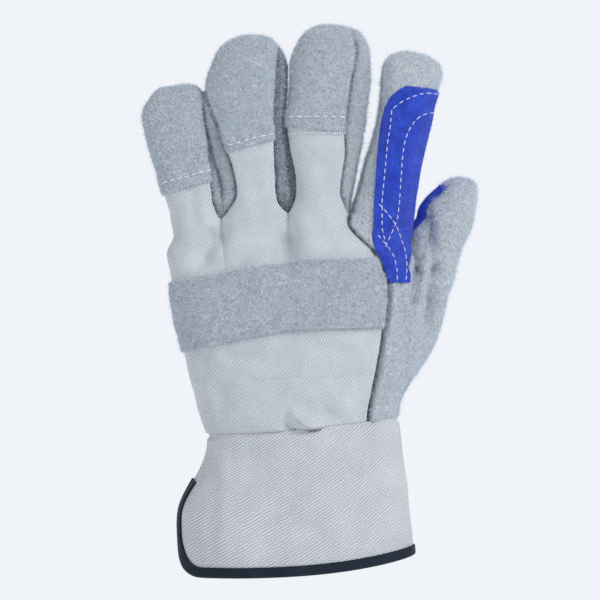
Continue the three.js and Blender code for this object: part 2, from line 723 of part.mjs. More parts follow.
const indexPatch = grid(patchHeights, patchAcross, (v, column) => {
  const [left, right] = [along(patchRows, 'left', v), along(patchRows, 'right', v)];
  const q = Math.min(right, Math.max(left, column));
  return skinVertex(indexAround(q, v > 0 ? v + patchTopSlope * clamp(q) * v ** 4 : v), patchLift);
});
add('index_patch', indexPatch, patchWall, finishes.suede);

const thumbPatchHeights = [0.15, 0.22, 0.3, 0.4, 0.5, 0.6, 0.7, 0.8, 0.86];
const thumbPatch = grid(thumbPatchHeights, sideColumns, (s, t) => {
  return skinVertex(onFinger(4, 'left', t, s), patchLift);
});
add('thumb_patch', thumbPatch, patchWall, finishes.suede);

// Cuff: a flared sleeve round the seam, open at the little finger's side below the slit's top.
// The angle runs from the little finger's side over the back of the hand to the thumb's side,
// and on over the palm side.
const mouthLow = footLow - cuffFlareLittle;
const mouthHigh = footHigh + cuffFlareThumb;
const cuffBulgeLittle = 0.34;
const cuffBulgeThumb = 0.06;
const mouthCurve = 3;
function cuffPoint(angle, h) {
  const sign = angle <= Math.PI ? -1 : 1;
  const turn = angle <= Math.PI ? angle : 2 * Math.PI - angle;
  const share = -Math.sign(Math.cos(turn)) * Math.abs(Math.cos(turn)) ** (2 / handRound);
  const topX = mix(footLow, footHigh, (share + 1) / 2);
  const topZ = seamZ(topX);
  const mouthX = mix(mouthLow, mouthHigh, (share + 1) / 2);
  const mouthZ = mouthFoot + mouthRise * ((share + 1) / 2) ** mouthCurve;
  const mouthY = (sign * cuffMouthDepth) / 2 * rounded(share, handRound);
  const bulge = mix(cuffBulgeLittle, cuffBulgeThumb, (share + 1) / 2);
  const flare = h - bulge * Math.sin(Math.PI * h);
  return new THREE.Vector3(
    mix(mouthX, topX, flare),
    mix(mouthY, handY(topX, topZ, sign), flare),
    mix(mouthZ, topZ, h),
  );
}
function cuffNormal(angle, h) {
  const step = 1e-3;
  const around = new THREE.Vector3().subVectors(cuffPoint(angle + step, h), cuffPoint(angle - step, h));
  const up = new THREE.Vector3().subVectors(cuffPoint(angle, h + step), cuffPoint(angle, h - step));
  return around.cross(up).normalize();
}
const slitAngle = (slitWidth / cuffMouthDepth) ** (handRound / 2);
const cuffSteps = 44;
const cuffAngles = even(cuffSteps).map((t) => mix(slitAngle, 2 * Math.PI - slitAngle, t));
const slitTop = slitHeight / cuffHeight;

// Height of the cuff's edge: the flaps' corners beside the slit are round
function edgeShare(angle) {
  const steps = 24;
  const fromSlit = Math.min(angle, 2 * Math.PI - angle);
  let run = 0;
  let last = cuffPoint(slitAngle, 0);
  for (let i = 1; i <= steps; i += 1) {
    const next = cuffPoint(mix(slitAngle, fromSlit, i / steps), 0);
    run += next.distanceTo(last);
    last = next;
  }
  const left = flapCorner - run;
  const raised = left > 0 ? flapCorner - Math.sqrt(Math.max(0, flapCorner ** 2 - left ** 2)) : 0;
  return raised / cuffHeight;
}
const cuffShares = [0, 0.25, 0.45, slitTop, 0.85, 1];
const cuffRow = (share, angle) => (share < slitTop ? mix(edgeShare(angle), slitTop, share / slitTop) : share);
const cuffVertex = (angle, h) => {
  const edge = h === 1 ? h - probe : h;
  return { p: cuffPoint(angle, h), normal: cuffNormal(angle, edge), lift: 0 };
};
const bridgeAngles = [2 * Math.PI - slitAngle, 2 * Math.PI + slitAngle];
const cuffFaces = [
  ...grid(cuffShares, cuffAngles, (share, angle) => cuffVertex(angle, cuffRow(share, angle))),
  ...grid(cuffShares.slice(3), bridgeAngles, (share, angle) => cuffVertex(angle % (2 * Math.PI), share)),
];
add('cuff', cuffFaces, cuffWall, finishes.cuffCloth);

// Binding: a folded tape swept along the cuff's free edge
const edgeSpots = [];
const sideSteps = 5;
const bindingTop = slitTop - 2 * clearance / cuffHeight;
for (let i = 0; i < sideSteps; i += 1) {
  edgeSpots.push([slitAngle, mix(bindingTop, edgeShare(slitAngle), i / sideSteps)]);
}
cuffAngles.forEach((angle) => edgeSpots.push([angle, edgeShare(angle)]));
for (let i = sideSteps - 1; i >= 0; i -= 1) {
  edgeSpots.push([2 * Math.PI - slitAngle, mix(bindingTop, edgeShare(slitAngle), i / sideSteps)]);
}
// A spot on the cuff some way in from its edge, walked along the wall
const walkSteps = 5;
function walkIn(spot, out, distance) {
  let [angle, h] = spot;
  const step = 1e-3;
  for (let i = 0; i < walkSteps; i += 1) {
    const around = new THREE.Vector3().subVectors(cuffPoint(angle + step, h), cuffPoint(angle - step, h));
    const up = new THREE.Vector3().subVectors(cuffPoint(angle, h + step), cuffPoint(angle, h - step));
    around.divideScalar(2 * step);
    up.divideScalar(2 * step);
    const goal = out.clone().projectOnPlane(cuffNormal(angle, h)).normalize();
    goal.multiplyScalar(-distance / walkSteps);
    const [aa, ab, bb] = [around.dot(around), around.dot(up), up.dot(up)];
    const [ga, gb] = [goal.dot(around), goal.dot(up)];
    const size = aa * bb - ab * ab;
    angle += (ga * bb - gb * ab) / size;
    h += (gb * aa - ga * ab) / size;
  }
  return [angle, h];
}

// Fold of the tape: how far along the wall from the edge, then off the wall's middle and out
// past the edge
const tapeIn = cuffWall / 2 + tapeClearance;
const tapeOut = tapeIn + bindingWall;
const foldOut = clearance + bindingWall;
const foldShare = 0.6;
const tapeProfile = [
  [1, tapeOut, 0],
  [0, tapeOut, 0],
  [0, tapeIn * foldShare, foldOut],
  [0, -tapeIn * foldShare, foldOut],
  [0, -tapeOut, 0],
  [1, -tapeOut, 0],
  [1, -tapeIn, 0],
  [0, -tapeIn, clearance * foldShare],
  [0, tapeIn, clearance * foldShare],
  [1, tapeIn, 0],
];
function sweep(spots, profile) {
  const places = spots.map(([angle, h]) => cuffPoint(angle, h));
  const points = [];
  spots.forEach((spot, i) => {
    const before = places[Math.max(0, i - 1)];
    const after = places[Math.min(spots.length - 1, i + 1)];
    const way = new THREE.Vector3().subVectors(after, before).normalize();
    const out = new THREE.Vector3().crossVectors(way, cuffNormal(...spot)).normalize();
    const seats = [spot, walkIn(spot, out, bindingWidth)].map((seat) => {
      const normal = cuffNormal(...seat);
      return { normal, p: cuffPoint(...seat).addScaledVector(normal, -cuffWall / 2) };
    });
    profile.forEach(([arm, n, e]) => {
      const { p, normal } = seats[arm];
      points.push(p.clone().addScaledVector(normal, n).addScaledVector(out, e));
    });
  });
  const count = profile.length;
  const triangles = [];
  for (let i = 0; i < spots.length - 1; i += 1) {
    for (let j = 0; j < count; j += 1) {
      const [a, b] = [i * count + j, i * count + ((j + 1) % count)];
      triangles.push([a, b, b + count], [a, b + count, a + count]);
    }
  }
  const ends = profile.map(([arm, n, e]) => new THREE.Vector2(n, e - arm * bindingWidth));
  const flat = THREE.ShapeUtils.triangulateShape(ends, []);
  const last = (spots.length - 1) * count;
  for (const [a, b, c] of flat) {
    triangles.push([a, c, b], [a + last, b + last, c + last]);
  }
  return { points, triangles };
}
const tape = sweep(edgeSpots, tapeProfile);
glove.add(mesh('cuff_binding', solid(tape.points, tape.triangles), finishes.binding));

export default glove;
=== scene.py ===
import bpy
import numpy as np
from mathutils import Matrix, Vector
from mathutils.bvhtree import BVHTree


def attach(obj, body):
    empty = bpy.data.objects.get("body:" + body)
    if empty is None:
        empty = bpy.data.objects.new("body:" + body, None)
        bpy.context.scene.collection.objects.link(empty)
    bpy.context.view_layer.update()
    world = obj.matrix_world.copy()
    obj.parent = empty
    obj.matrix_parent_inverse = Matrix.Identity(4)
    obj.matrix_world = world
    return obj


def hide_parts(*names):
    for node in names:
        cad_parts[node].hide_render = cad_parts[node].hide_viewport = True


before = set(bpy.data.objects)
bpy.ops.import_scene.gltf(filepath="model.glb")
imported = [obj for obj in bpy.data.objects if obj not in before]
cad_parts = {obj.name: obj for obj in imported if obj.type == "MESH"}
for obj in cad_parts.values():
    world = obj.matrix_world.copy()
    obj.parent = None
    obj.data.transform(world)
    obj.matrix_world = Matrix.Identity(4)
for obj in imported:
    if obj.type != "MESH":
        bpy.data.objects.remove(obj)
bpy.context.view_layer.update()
mm = 0.001
rng = np.random.default_rng(7)
detail = 1.0


# Small formulas on arrays
def mix(a, b, t):
    return a + (b - a) * t


def clamp(v):
    return np.clip(v, 0, 1)


def ease(v):
    v = clamp(v)
    return v * v * (3 - 2 * v)


def rounded(share, power):
    return np.maximum(0, 1 - np.abs(share) ** power) ** (1 / power)


def bell(distance, width):
    return np.exp(-((distance / width) ** 2))


# A rolled edge: 0 at the edge, 1 from the radius inwards
def roll(distance, radius):
    return np.sqrt(1 - (1 - clamp(distance / radius)) ** 2)


# 0 at both ends, 1 in the middle
def arch(share):
    return 1 - (2 * share - 1) ** 2


def unit(v):
    return v / np.linalg.norm(v, axis=-1, keepdims=True)


# Length along a line at each of its points
def lengthAlong(line):
    return np.concatenate([[0], np.cumsum(np.linalg.norm(np.diff(line, axis=0), axis=1))])


# Even steps, fewer in a quick build
def steps(low, high, count):
    return np.linspace(low, high, int(count * detail))


def grid(rows, columns):
    return np.meshgrid(rows, columns, indexing="ij")


def table(names, rows):
    return dict(zip(names, np.array(rows, float).T))


# A table's column as a smooth curve through its rows
def along(rows, column, at):
    ats, values = rows["at"], rows[column]
    low = np.maximum(np.arange(len(ats)) - 1, 0)
    high = np.minimum(np.arange(len(ats)) + 1, len(ats) - 1)
    slope = (values[high] - values[low]) / (ats[high] - ats[low])
    t = np.clip(at, ats[0], ats[-1])
    i = np.clip(np.searchsorted(ats, t, side="right") - 1, 0, len(ats) - 2)
    span = ats[i + 1] - ats[i]
    s = (t - ats[i]) / span
    bend = span * s * (1 - s) * ((1 - s) * slope[i] - s * slope[i + 1])
    return mix(values[i], values[i + 1], s * s * (3 - 2 * s)) + bend


# Smooth random field: values on a lattice, blended between the eight corners of each cell. Each
# seed reads it from a place of its own.
latticeSize = 24
lattice = rng.random((latticeSize, latticeSize, latticeSize))
seedStep = 5.37


def noise(points, size, seed=0):
    p = points / size + seed * seedStep
    cell = np.floor(p).astype(int)
    f = p - cell
    f = f * f * (3 - 2 * f)
    total = 0
    for corner in np.ndindex(2, 2, 2):
        i = (cell + corner) % latticeSize
        weight = np.prod(np.where(corner, f, 1 - f), axis=-1)
        total = total + weight * lattice[i[..., 0], i[..., 1], i[..., 2]]
    return total * 2 - 1


# Layers of noise, each with its height and its size in millimetres
def layered(points, layers, seed=0):
    return sum(height * noise(points, size, seed + i) for i, (height, size) in enumerate(layers))


# Shape of the glove, the same as the CAD part's
cuffHeight = 68
handHeight = 109
littleEdge = 60.7
thumbEdge = 76.8
palmDepth = 44
thumbSet = 12
fingerCurl = 8
handRound = 2.5
fingerRound = 2.4

handRows = table(["at", "little", "thumb", "front", "back"], [
    [0, 0.72, 0.647, 0.5, 0.5],
    [0.08, 0.76, 0.647, 0.5, 0.5],
    [0.165, 0.803, 0.664, 0.5, 0.51],
    [0.255, 0.857, 0.741, 0.5, 0.52],
    [0.375, 0.908, 0.852, 0.49, 0.52],
    [0.5, 0.964, 0.924, 0.47, 0.51],
    [0.624, 1.002, 0.968, 0.44, 0.48],
    [0.7, 1.003, 1, 0.41, 0.45],
    [0.81, 1.022, 0.95, 0.37, 0.4],
    [0.89, 0.985, 0.87, 0.34, 0.36],
    [0.96, 1, 0.79, 0.32, 0.33],
    [1.02, 1, 0.75, 0.31, 0.32],
])
seamRows = table(["at", "across"], [
    [0, 0.435],
    [0.06, 0.435],
    [0.125, 0.535],
    [0.18, 0.63],
    [0.27, 0.705],
    [0.34, 0.742],
    [0.45, 0.736],
    [0.6, 0.7],
    [0.75, 0.662],
    [0.9, 0.6],
    [1, 0.577],
])
sectionNames = ["at", "left", "right", "seamLeft", "seamRight"]
littleRows = table(sectionNames, [
    [0, 0.5, 0.55, 0.5, 0.5],
    [0.05, 0.5, 0.54, 0.5, 0.46],
    [0.1, 0.51, 0.54, 0.51, 0.43],
    [0.2, 0.58, 0.575, 0.58, 0.43],
    [0.3, 0.635, 0.55, 0.635, 0.43],
    [0.4, 0.695, 0.5, 0.695, 0.43],
    [0.5, 0.74, 0.475, 0.74, 0.44],
    [0.6, 0.77, 0.46, 0.77, 0.44],
    [0.7, 0.795, 0.455, 0.795, 0.43],
    [0.8, 0.8, 0.465, 0.8, 0.44],
    [0.88, 0.72, 0.47, 0.72, 0.47],
    [0.94, 0.585, 0.415, 0.585, 0.415],
    [0.98, 0.46, 0.29, 0.46, 0.29],
    [1, 0.33, 0.14, 0.33, 0.14],
])
ringRows = table(sectionNames, [
    [0, 0.55, 0.55, 0.5, 0.5],
    [0.05, 0.46, 0.55, 0.37, 0.4],
    [0.1, 0.44, 0.55, 0.3, 0.37],
    [0.2, 0.47, 0.535, 0.31, 0.36],
    [0.3, 0.55, 0.505, 0.37, 0.36],
    [0.4, 0.61, 0.48, 0.45, 0.36],
    [0.5, 0.665, 0.465, 0.54, 0.35],
    [0.6, 0.695, 0.475, 0.63, 0.36],
    [0.7, 0.68, 0.505, 0.68, 0.38],
    [0.8, 0.62, 0.52, 0.62, 0.41],
    [0.88, 0.52, 0.495, 0.52, 0.43],
    [0.94, 0.41, 0.42, 0.41, 0.42],
    [0.98, 0.26, 0.32, 0.26, 0.32],
    [1, 0.1, 0.19, 0.1, 0.19],
])
middleRows = table(sectionNames, [
    [0, 0.55, 0.55, 0.5, 0.5],
    [0.05, 0.48, 0.51, 0.44, 0.42],
    [0.1, 0.45, 0.53, 0.42, 0.37],
    [0.2, 0.5, 0.56, 0.46, 0.375],
    [0.3, 0.575, 0.585, 0.54, 0.4],
    [0.4, 0.62, 0.625, 0.605, 0.375],
    [0.5, 0.61, 0.67, 0.61, 0.365],
    [0.6, 0.605, 0.69, 0.605, 0.385],
    [0.7, 0.6, 0.695, 0.6, 0.41],
    [0.8, 0.595, 0.685, 0.595, 0.45],
    [0.88, 0.51, 0.645, 0.51, 0.455],
    [0.94, 0.4, 0.56, 0.4, 0.38],
    [0.98, 0.24, 0.46, 0.24, 0.33],
    [1, 0.08, 0.3, 0.08, 0.3],
])
indexRows = table(sectionNames, [
    [0, 0.53, 0.53, 0.5, 0.5],
    [0.05, 0.45, 0.4, 0.43, 0.37],
    [0.1, 0.425, 0.33, 0.405, 0.3],
    [0.2, 0.4, 0.28, 0.385, 0.25],
    [0.3, 0.37, 0.275, 0.355, 0.24],
    [0.4, 0.34, 0.27, 0.325, 0.235],
    [0.5, 0.3, 0.283, 0.285, 0.245],
    [0.6, 0.29, 0.305, 0.28, 0.265],
    [0.7, 0.29, 0.317, 0.28, 0.28],
    [0.8, 0.3, 0.34, 0.29, 0.3],
    [0.88, 0.31, 0.38, 0.305, 0.355],
    [0.94, 0.285, 0.345, 0.285, 0.34],
    [0.98, 0.17, 0.23, 0.17, 0.23],
    [1, 0.075, 0.13, 0.075, 0.13],
])
thumbRows = table(sectionNames, [
    [0, 0.53, 0.5, 0.5, 0.5],
    [0.1, 0.46, 0.495, 0.4, 0.495],
    [0.2, 0.52, 0.5, 0.4, 0.5],
    [0.3, 0.6, 0.51, 0.44, 0.51],
    [0.4, 0.66, 0.545, 0.48, 0.545],
    [0.5, 0.72, 0.59, 0.52, 0.59],
    [0.6, 0.76, 0.61, 0.54, 0.61],
    [0.7, 0.68, 0.61, 0.46, 0.61],
    [0.8, 0.54, 0.575, 0.35, 0.575],
    [0.88, 0.41, 0.53, 0.26, 0.53],
    [0.94, 0.28, 0.47, 0.21, 0.47],
    [0.98, 0.12, 0.41, 0.12, 0.41],
    [1, 0, 0.3, 0, 0.3],
])

# Corners of the fingers' bases: place, height, and depth on the back and on the palm side
cornerX = np.array([-60.7, -36.9, -4.4, 25.8, 57.8, 76.8])
cornerZ = cuffHeight + handHeight * np.array([0.951, 0.982, 1.008, 1, 0.741, 0.697])
cornerMiddle = np.array([0, 0, 0, 0, 6, 12])
cornerHalf = np.array([0, 6.25, 6.25, 6.25, 8, 0])

fingers = [
    {"rows": littleRows, "length": 67.5, "lean": -8.1, "depth": 22, "set": 0},
    {"rows": ringRows, "length": 88, "lean": -1.7, "depth": 25, "set": 0},
    {"rows": middleRows, "length": 92.5, "lean": 3.6, "depth": 26, "set": 0},
    {"rows": indexRows, "length": 95, "lean": 9.1, "depth": 26, "set": 0},
    {"rows": thumbRows, "length": 50.5, "lean": 15.2, "depth": 26, "set": thumbSet},
]


# Shares of a finger's length over which its foot turns into its own shape, and where its tip
# begins to round
fingerBlend = {"turn": 0.25, "turnPower": 1.5, "middle": 0.35, "depth": 0.12, "side": 0.04,
               "tip": 0.78, "tipLength": 0.22, "tipRound": 2.2}


# One finger's section at share s of its length: its axis, the direction across it, and the
# distances from the axis to the outline and to the seams
def section(k, s):
    f = fingers[k]
    dx, dz = cornerX[k + 1] - cornerX[k], cornerZ[k] - cornerZ[k + 1]
    lean = np.radians(f["lean"])
    turn = lean + (np.arctan2(dz, dx) - lean) * (
        1 - clamp(s / fingerBlend["turn"])) ** fingerBlend["turnPower"]
    size = {name: along(f["rows"], name, s) * np.hypot(dx, dz) for name in sectionNames[1:]}
    tip = rounded(clamp((s - fingerBlend["tip"]) / fingerBlend["tipLength"]), fingerBlend["tipRound"])
    return {
        "x": (cornerX[k] + cornerX[k + 1]) / 2 + np.sin(lean) * f["length"] * s,
        "z": (cornerZ[k] + cornerZ[k + 1]) / 2 + np.cos(lean) * f["length"] * s,
        "acrossX": np.cos(turn),
        "acrossZ": -np.sin(turn),
        "left": size["left"],
        "right": size["right"],
        "seamLeft": np.minimum(size["seamLeft"], size["left"]),
        "seamRight": np.minimum(size["seamRight"], size["right"]),
        "half": f["depth"] / 2 * tip,
    }


def fingerMiddle(k, s, c, sec):
    share = clamp((c + sec["seamLeft"]) / (sec["seamLeft"] + sec["seamRight"]))
    base = mix(cornerMiddle[k], cornerMiddle[k + 1], share)
    return mix(base, fingers[k]["set"], ease(s / fingerBlend["middle"])) + fingerCurl * s * s


# Depth of a finger: a rounded section round its middle surface, pulled at the base to the
# corners that it shares with the fingers beside it
def fingerY(k, s, c, sign, sec):
    def surface(d):
        reach = np.where(d < 0, sec["left"], sec["right"])
        return sec["half"] * rounded(clamp(np.abs(d) / reach), fingerRound)
    end = np.where(c < 0, k, k + 1)
    seam = np.where(c < 0, -sec["seamLeft"], sec["seamRight"])
    wanted = cornerMiddle[end] + sign * cornerHalf[end]
    pull = wanted - (fingerMiddle(k, s, seam, sec) + sign * surface(seam))
    pull = pull * (c / seam) ** 2 * (1 - ease(s / fingerBlend["depth"]))
    return fingerMiddle(k, s, c, sec) + sign * surface(c) + pull


def fingerPoint(k, side, t, s):
    sec = section(k, s)
    if side in ("front", "back"):
        c = mix(-sec["seamLeft"], sec["seamRight"], t if side == "front" else 1 - t)
        y = fingerY(k, s, c, -1 if side == "front" else 1, sec)
    else:
        way, seam, reach = (1, "seamRight", "right") if side == "right" else (-1, "seamLeft", "left")
        yFront = fingerY(k, s, way * sec[seam], -1, sec)
        yBack = fingerY(k, s, way * sec[seam], 1, sec)
        y = mix(yFront, yBack, t) if side == "right" else mix(yBack, yFront, t)
        c = way * (sec[seam] + (sec[reach] - sec[seam]) * ease(s / fingerBlend["side"]) * arch(t))
    x, z = sec["x"] + sec["acrossX"] * c, sec["z"] + sec["acrossZ"] * c
    return np.stack(np.broadcast_arrays(x, y, z), -1)


def edgeLittle(rise):
    return -along(handRows, "little", rise) * littleEdge


def edgeThumb(rise):
    return along(handRows, "thumb", rise) * thumbEdge


# Where the hand's middle surface moves to the palm's side for the thumb, as shares of the hand's
# width and height
thumbRoot = {"from": 0.2, "length": 0.8, "height": 0.65}


# Depth of the hand at x and z: a rounded section between its two edges
def handY(x, z, sign):
    rise = (z - cuffHeight) / handHeight
    low, high = edgeLittle(rise), edgeThumb(rise)
    share = np.clip((2 * x - low - high) / (high - low), -1, 1)
    depth = along(handRows, "front" if sign < 0 else "back", rise) * palmDepth
    across = ease((share - thumbRoot["from"]) / thumbRoot["length"])
    middle = thumbSet * across * ease(rise / thumbRoot["height"])
    return middle + sign * depth * rounded(share, handRound)


seamRise = 8.3
footLow = edgeLittle(0.0)
footHigh = edgeThumb(seamRise / handHeight)
footShares = [0, 0.16, 0.43, 0.842, 0.94, 1]


def seamZ(x):
    return cuffHeight + seamRise * clamp((x - footLow) / (footHigh - footLow)) ** 1.6


# How the hand meets the fingers' bases: how fast its edges leave the outer corners, and how far
# the step to the fingers' depth reaches in from the edges and down
handBlend = {"corner": 40, "edge": 20, "down": 0.3}


# Lines that run down from the crotches to the cuff's seam
def linePoint(k, w):
    footX = mix(footLow, footHigh, footShares[k])
    z = mix(cornerZ[k], seamZ(footX), w)
    rise = (z - cuffHeight) / handHeight
    if k == 0:
        return mix(edgeLittle(rise), cornerX[0], (1 - w) ** handBlend["corner"]), z
    if k == 5:
        return mix(edgeThumb(rise), cornerX[5], (1 - w) ** handBlend["corner"]), z
    if k == 3:
        slide = mix(cornerX[3] - seamRows["across"][0] * littleEdge,
                    footX - seamRows["across"][-1] * littleEdge, w)
        return along(seamRows, "across", w) * littleEdge + slide, z
    return mix(cornerX[k], footX, w), z


# A point of the hand between line k and the next one, blended to the fingers' bases at the top
def handPoint(k, sign, u, wLow, wHigh):
    (lowX, lowZ), (highX, highZ) = linePoint(k, wLow), linePoint(k + 1, wHigh)
    x, z, w = mix(lowX, highX, u), mix(lowZ, highZ, u), mix(wLow, wHigh, u)
    top = fingerPoint(k, "front" if sign < 0 else "back", u if sign < 0 else 1 - u, np.zeros_like(u))
    fromEdge = u if k == 0 else 1 - u if k == 4 else np.ones_like(u)
    step = (top[..., 1] - handY(top[..., 0], top[..., 2], sign)) * clamp(fromEdge * handBlend["edge"])
    return np.stack([x, handY(x, z, sign) + step * (1 - ease(w / handBlend["down"])), z], -1)


print("shape ready")


# Folds and wrinkles. Ends in millimetres across and up, then width, and depth pressed in
# (less than 0 for a ridge)
backFolds = [
    [-40, 165, -46, 156, 4, 4.2],
    [-5.5, 163, -6.5, 154, 5, 4.2],
    [-30, 168, -31, 155, 5, -1.2],
    [4, 168, 6, 156, 6, -1.2],
    [-45, 108, -45, 98, 3, 0.9],
    [63.7, 175, 68, 150, 3.4, 3.2],
    [68, 150, 64.6, 124, 3.6, 4.2],
    [59.5, 148, 57.5, 134, 2.2, 2.6],
    [52, 136, 53, 88, 3.4, 1.3],
    [-34, 108, -20, 106, 3, 0.9],
    [-16, 107, -4, 110, 3, 0.8],
    [10, 112, 24, 108, 3.5, 0.8],
    [-1, 79, 10, 70, 3.5, -3.2],
    [-4, 74, 4, 69, 3, 2.4],
    [14, 80, 22, 75, 3, 1.0],
    [-25, 96, 30, 97.5, 0.7, 0.5],
    [-62, 159, -56, 150, 5, -1.4],
    [-52, 187, -50, 172, 2.6, 0.8],
    [-47, 189, -44, 173, 2.2, -0.6],
    [61.5, 158, 62.5, 130, 3, -1.0],
    [61, 133, 57, 100, 2.4, -1.0],
    [57, 163, 66, 130, 2.4, 1.2],
    [-20, 190, -17, 178, 3, 0.6],
    [14, 195, 16, 180, 3, 0.5],
    [-38, 92, -36, 76, 3, 0.6],
    [-12, 80, -9, 92, 4, 0.5],
    [28, 92, 30, 78, 3.5, 0.6],
]
palmFolds = [
    [-50, 150, -10, 158, 3.5, 1.0],
    [-45, 140, 20, 126, 4, 1.2],
    [50, 150, 30, 100, 5, 1.6],
    [-30, 176, -34, 160, 4, 0.8],
    [5, 180, 2, 165, 4, 0.8],
    [-50, 205, -40, 204, 2.5, 0.9],
    [-30, 222, -12, 223, 2.5, 0.9],
    [3, 224, 22, 222, 2.5, 0.9],
    [48, 205, 58, 203, 2.5, 0.8],
    [-10, 120, 10, 84, 5, 0.8],
]


def folds(points, rows):
    x, z = points[..., 0], points[..., 2]
    pressed = 0
    for x0, z0, x1, z1, width, depth in rows:
        dx, dz = x1 - x0, z1 - z0
        t = clamp(((x - x0) * dx + (z - z0) * dz) / (dx * dx + dz * dz))
        off = np.hypot(x - x0 - t * dx, z - z0 - t * dz)
        pressed = pressed + depth * bell(off, width)
    return pressed


# Soft unevenness of worn cloth and leather, in millimetres along the surface's direction. The
# last layer is drawn out along the fingers.
unevenness = [(0.5, 16), (0.28, 7), (0.12, 3.2)]
drawnOut = [(0.6, 11)]


def wear(points, front):
    uneven = layered(points, unevenness) + layered(points * [1, 1, 0.4], drawnOut, 4)
    return uneven - np.where(front, folds(points, backFolds), folds(points, palmFolds))


# Meshes
def runs(points):
    gaps = np.linalg.norm(np.diff(points, axis=1), axis=-1)
    run = np.concatenate([np.zeros((len(points), 1)), np.cumsum(gaps, axis=1)], axis=1)
    return run, run[:, -1:] - run


# Distances of a sheet's points from its four edges: along its rows, then along its columns
def fromEdges(points):
    return *runs(points), *(r.T for r in runs(points.transpose(1, 0, 2)))


def gridFaces(rows, columns, start=0):
    i, j = grid(np.arange(rows - 1), np.arange(columns - 1))
    a = (start + i * columns + j).ravel()
    return np.stack([a, a + 1, a + columns + 1, a + columns], -1)


# Direction of each vertex: the sum of its faces' area vectors
def vertexNormals(vertices, faces):
    p = vertices[faces]
    area = np.cross(p[:, 2] - p[:, 0], p[:, 3] - p[:, 1])
    total = np.zeros_like(vertices)
    for corner in range(4):
        np.add.at(total, faces[:, corner], area)
    size = np.linalg.norm(total, axis=1, keepdims=True)
    return total / np.maximum(size, 1e-12)


def merged(points, faces):
    index = np.unique(np.round(points, 3), axis=0, return_inverse=True)[1].ravel()
    count = np.bincount(index)
    vertices = np.stack([np.bincount(index, points[:, a]) / count for a in range(3)], -1)
    return vertices, index[faces], index


# A mesh object from vertices in millimetres and faces of four corners. A corner named twice
# makes a triangle.
def makeMesh(name, vertices, faces, material, uv=None, measures=None):
    used, where = np.unique(faces, return_inverse=True)
    faces = where.reshape(faces.shape)
    same = faces == np.roll(faces, -1, axis=1)
    faces, same = faces[same.sum(1) < 2], same[same.sum(1) < 2]
    keep = ~same
    sizes = keep.sum(1)
    mesh = bpy.data.meshes.new(name)
    mesh.vertices.add(len(used))
    mesh.vertices.foreach_set("co", (vertices[used] * mm).astype(np.float32).ravel())
    mesh.loops.add(int(sizes.sum()))
    mesh.loops.foreach_set("vertex_index", faces[keep].astype(np.int32))
    mesh.polygons.add(len(faces))
    mesh.polygons.foreach_set("loop_start", np.concatenate([[0], np.cumsum(sizes)[:-1]]).astype(np.int32))
    mesh.polygons.foreach_set("use_smooth", np.ones(len(faces), bool))
    if uv is not None:
        layer = mesh.uv_layers.new(name="cloth")
        layer.data.foreach_set("uv", uv[used][faces[keep]].astype(np.float32).ravel())
    for measure, values in (measures or {}).items():
        layer = mesh.attributes.new(measure, "FLOAT", "POINT")
        layer.data.foreach_set("value", values[used].astype(np.float32))
    mesh.update(calc_edges=True)
    mesh.validate()
    mesh.materials.append(material)
    piece = bpy.data.objects.new(name, mesh)
    bpy.context.scene.collection.objects.link(piece)
    return piece


def place(piece, slot, *nodes):
    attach(piece, "root")
    if nodes:
        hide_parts(*nodes)
    return piece


# A closed wall: the surface, a copy moved in by the thickness, and rims on its open edges
def shell(vertices, faces, thickness):
    normals = vertexNormals(vertices, faces)
    count = len(vertices)
    edges = np.concatenate([faces[:, [c, (c + 1) % 4]] for c in range(4)])
    edges = edges[edges[:, 0] != edges[:, 1]]
    keys = edges[:, 0] * count + edges[:, 1]
    back = edges[:, 1] * count + edges[:, 0]
    rim = edges[~np.isin(back, keys)]
    sides = np.stack([rim[:, 1], rim[:, 0], rim[:, 0] + count, rim[:, 1] + count], -1)
    inner = faces[:, ::-1] + count
    points = np.concatenate([vertices, vertices - normals * thickness])
    return points, np.concatenate([faces, inner, sides])


# Materials
def linear(hexColour):
    c = np.array([int(hexColour[i:i + 2], 16) for i in (1, 3, 5)]) / 255
    c = np.where(c <= 0.04045, c / 12.92, ((c + 0.055) / 1.055) ** 2.4)
    return [*c, 1]


def addNode(tree, kind, inputs=None, **settings):
    node = tree.nodes.new(kind)
    for name, value in settings.items():
        setattr(node, name, value)
    for name, value in (inputs or {}).items():
        if isinstance(value, bpy.types.NodeSocket):
            tree.links.new(value, node.inputs[name])
        else:
            node.inputs[name].default_value = value
    return node


def newMaterial(name, colour, roughness, sheen):
    material = bpy.data.materials.new(name)
    material.use_nodes = True
    tree = material.node_tree
    shader = tree.nodes["Principled BSDF"]
    shader.inputs["Base Color"].default_value = linear(colour)
    shader.inputs["Roughness"].default_value = roughness
    shader.inputs["Specular IOR Level"].default_value = 0.2
    shader.inputs["Sheen Weight"].default_value = sheen
    shader.inputs["Sheen Roughness"].default_value = 0.5
    return material, tree, shader


# Nodes that the finishes share. Sizes and depths are in millimetres.
def calculate(tree, operation, *values):
    return addNode(tree, "ShaderNodeMath", dict(enumerate(values)), operation=operation).outputs["Value"]


def noiseField(tree, position, size, **inputs):
    inputs = {"Vector": position, "Scale": 1 / (size * mm), **inputs}
    return addNode(tree, "ShaderNodeTexNoise", inputs).outputs["Fac"]


def stretch(tree, value, low, high, newLow=0.0, newHigh=1.0):
    inputs = {"Value": value, "From Min": low, "From Max": high, "To Min": newLow, "To Max": newHigh}
    return addNode(tree, "ShaderNodeMapRange", inputs).outputs["Result"]


def toned(tree, colour, factor):
    inputs = {0: colour, "Scale": factor}
    return addNode(tree, "ShaderNodeVectorMath", inputs, operation="SCALE").outputs["Vector"]


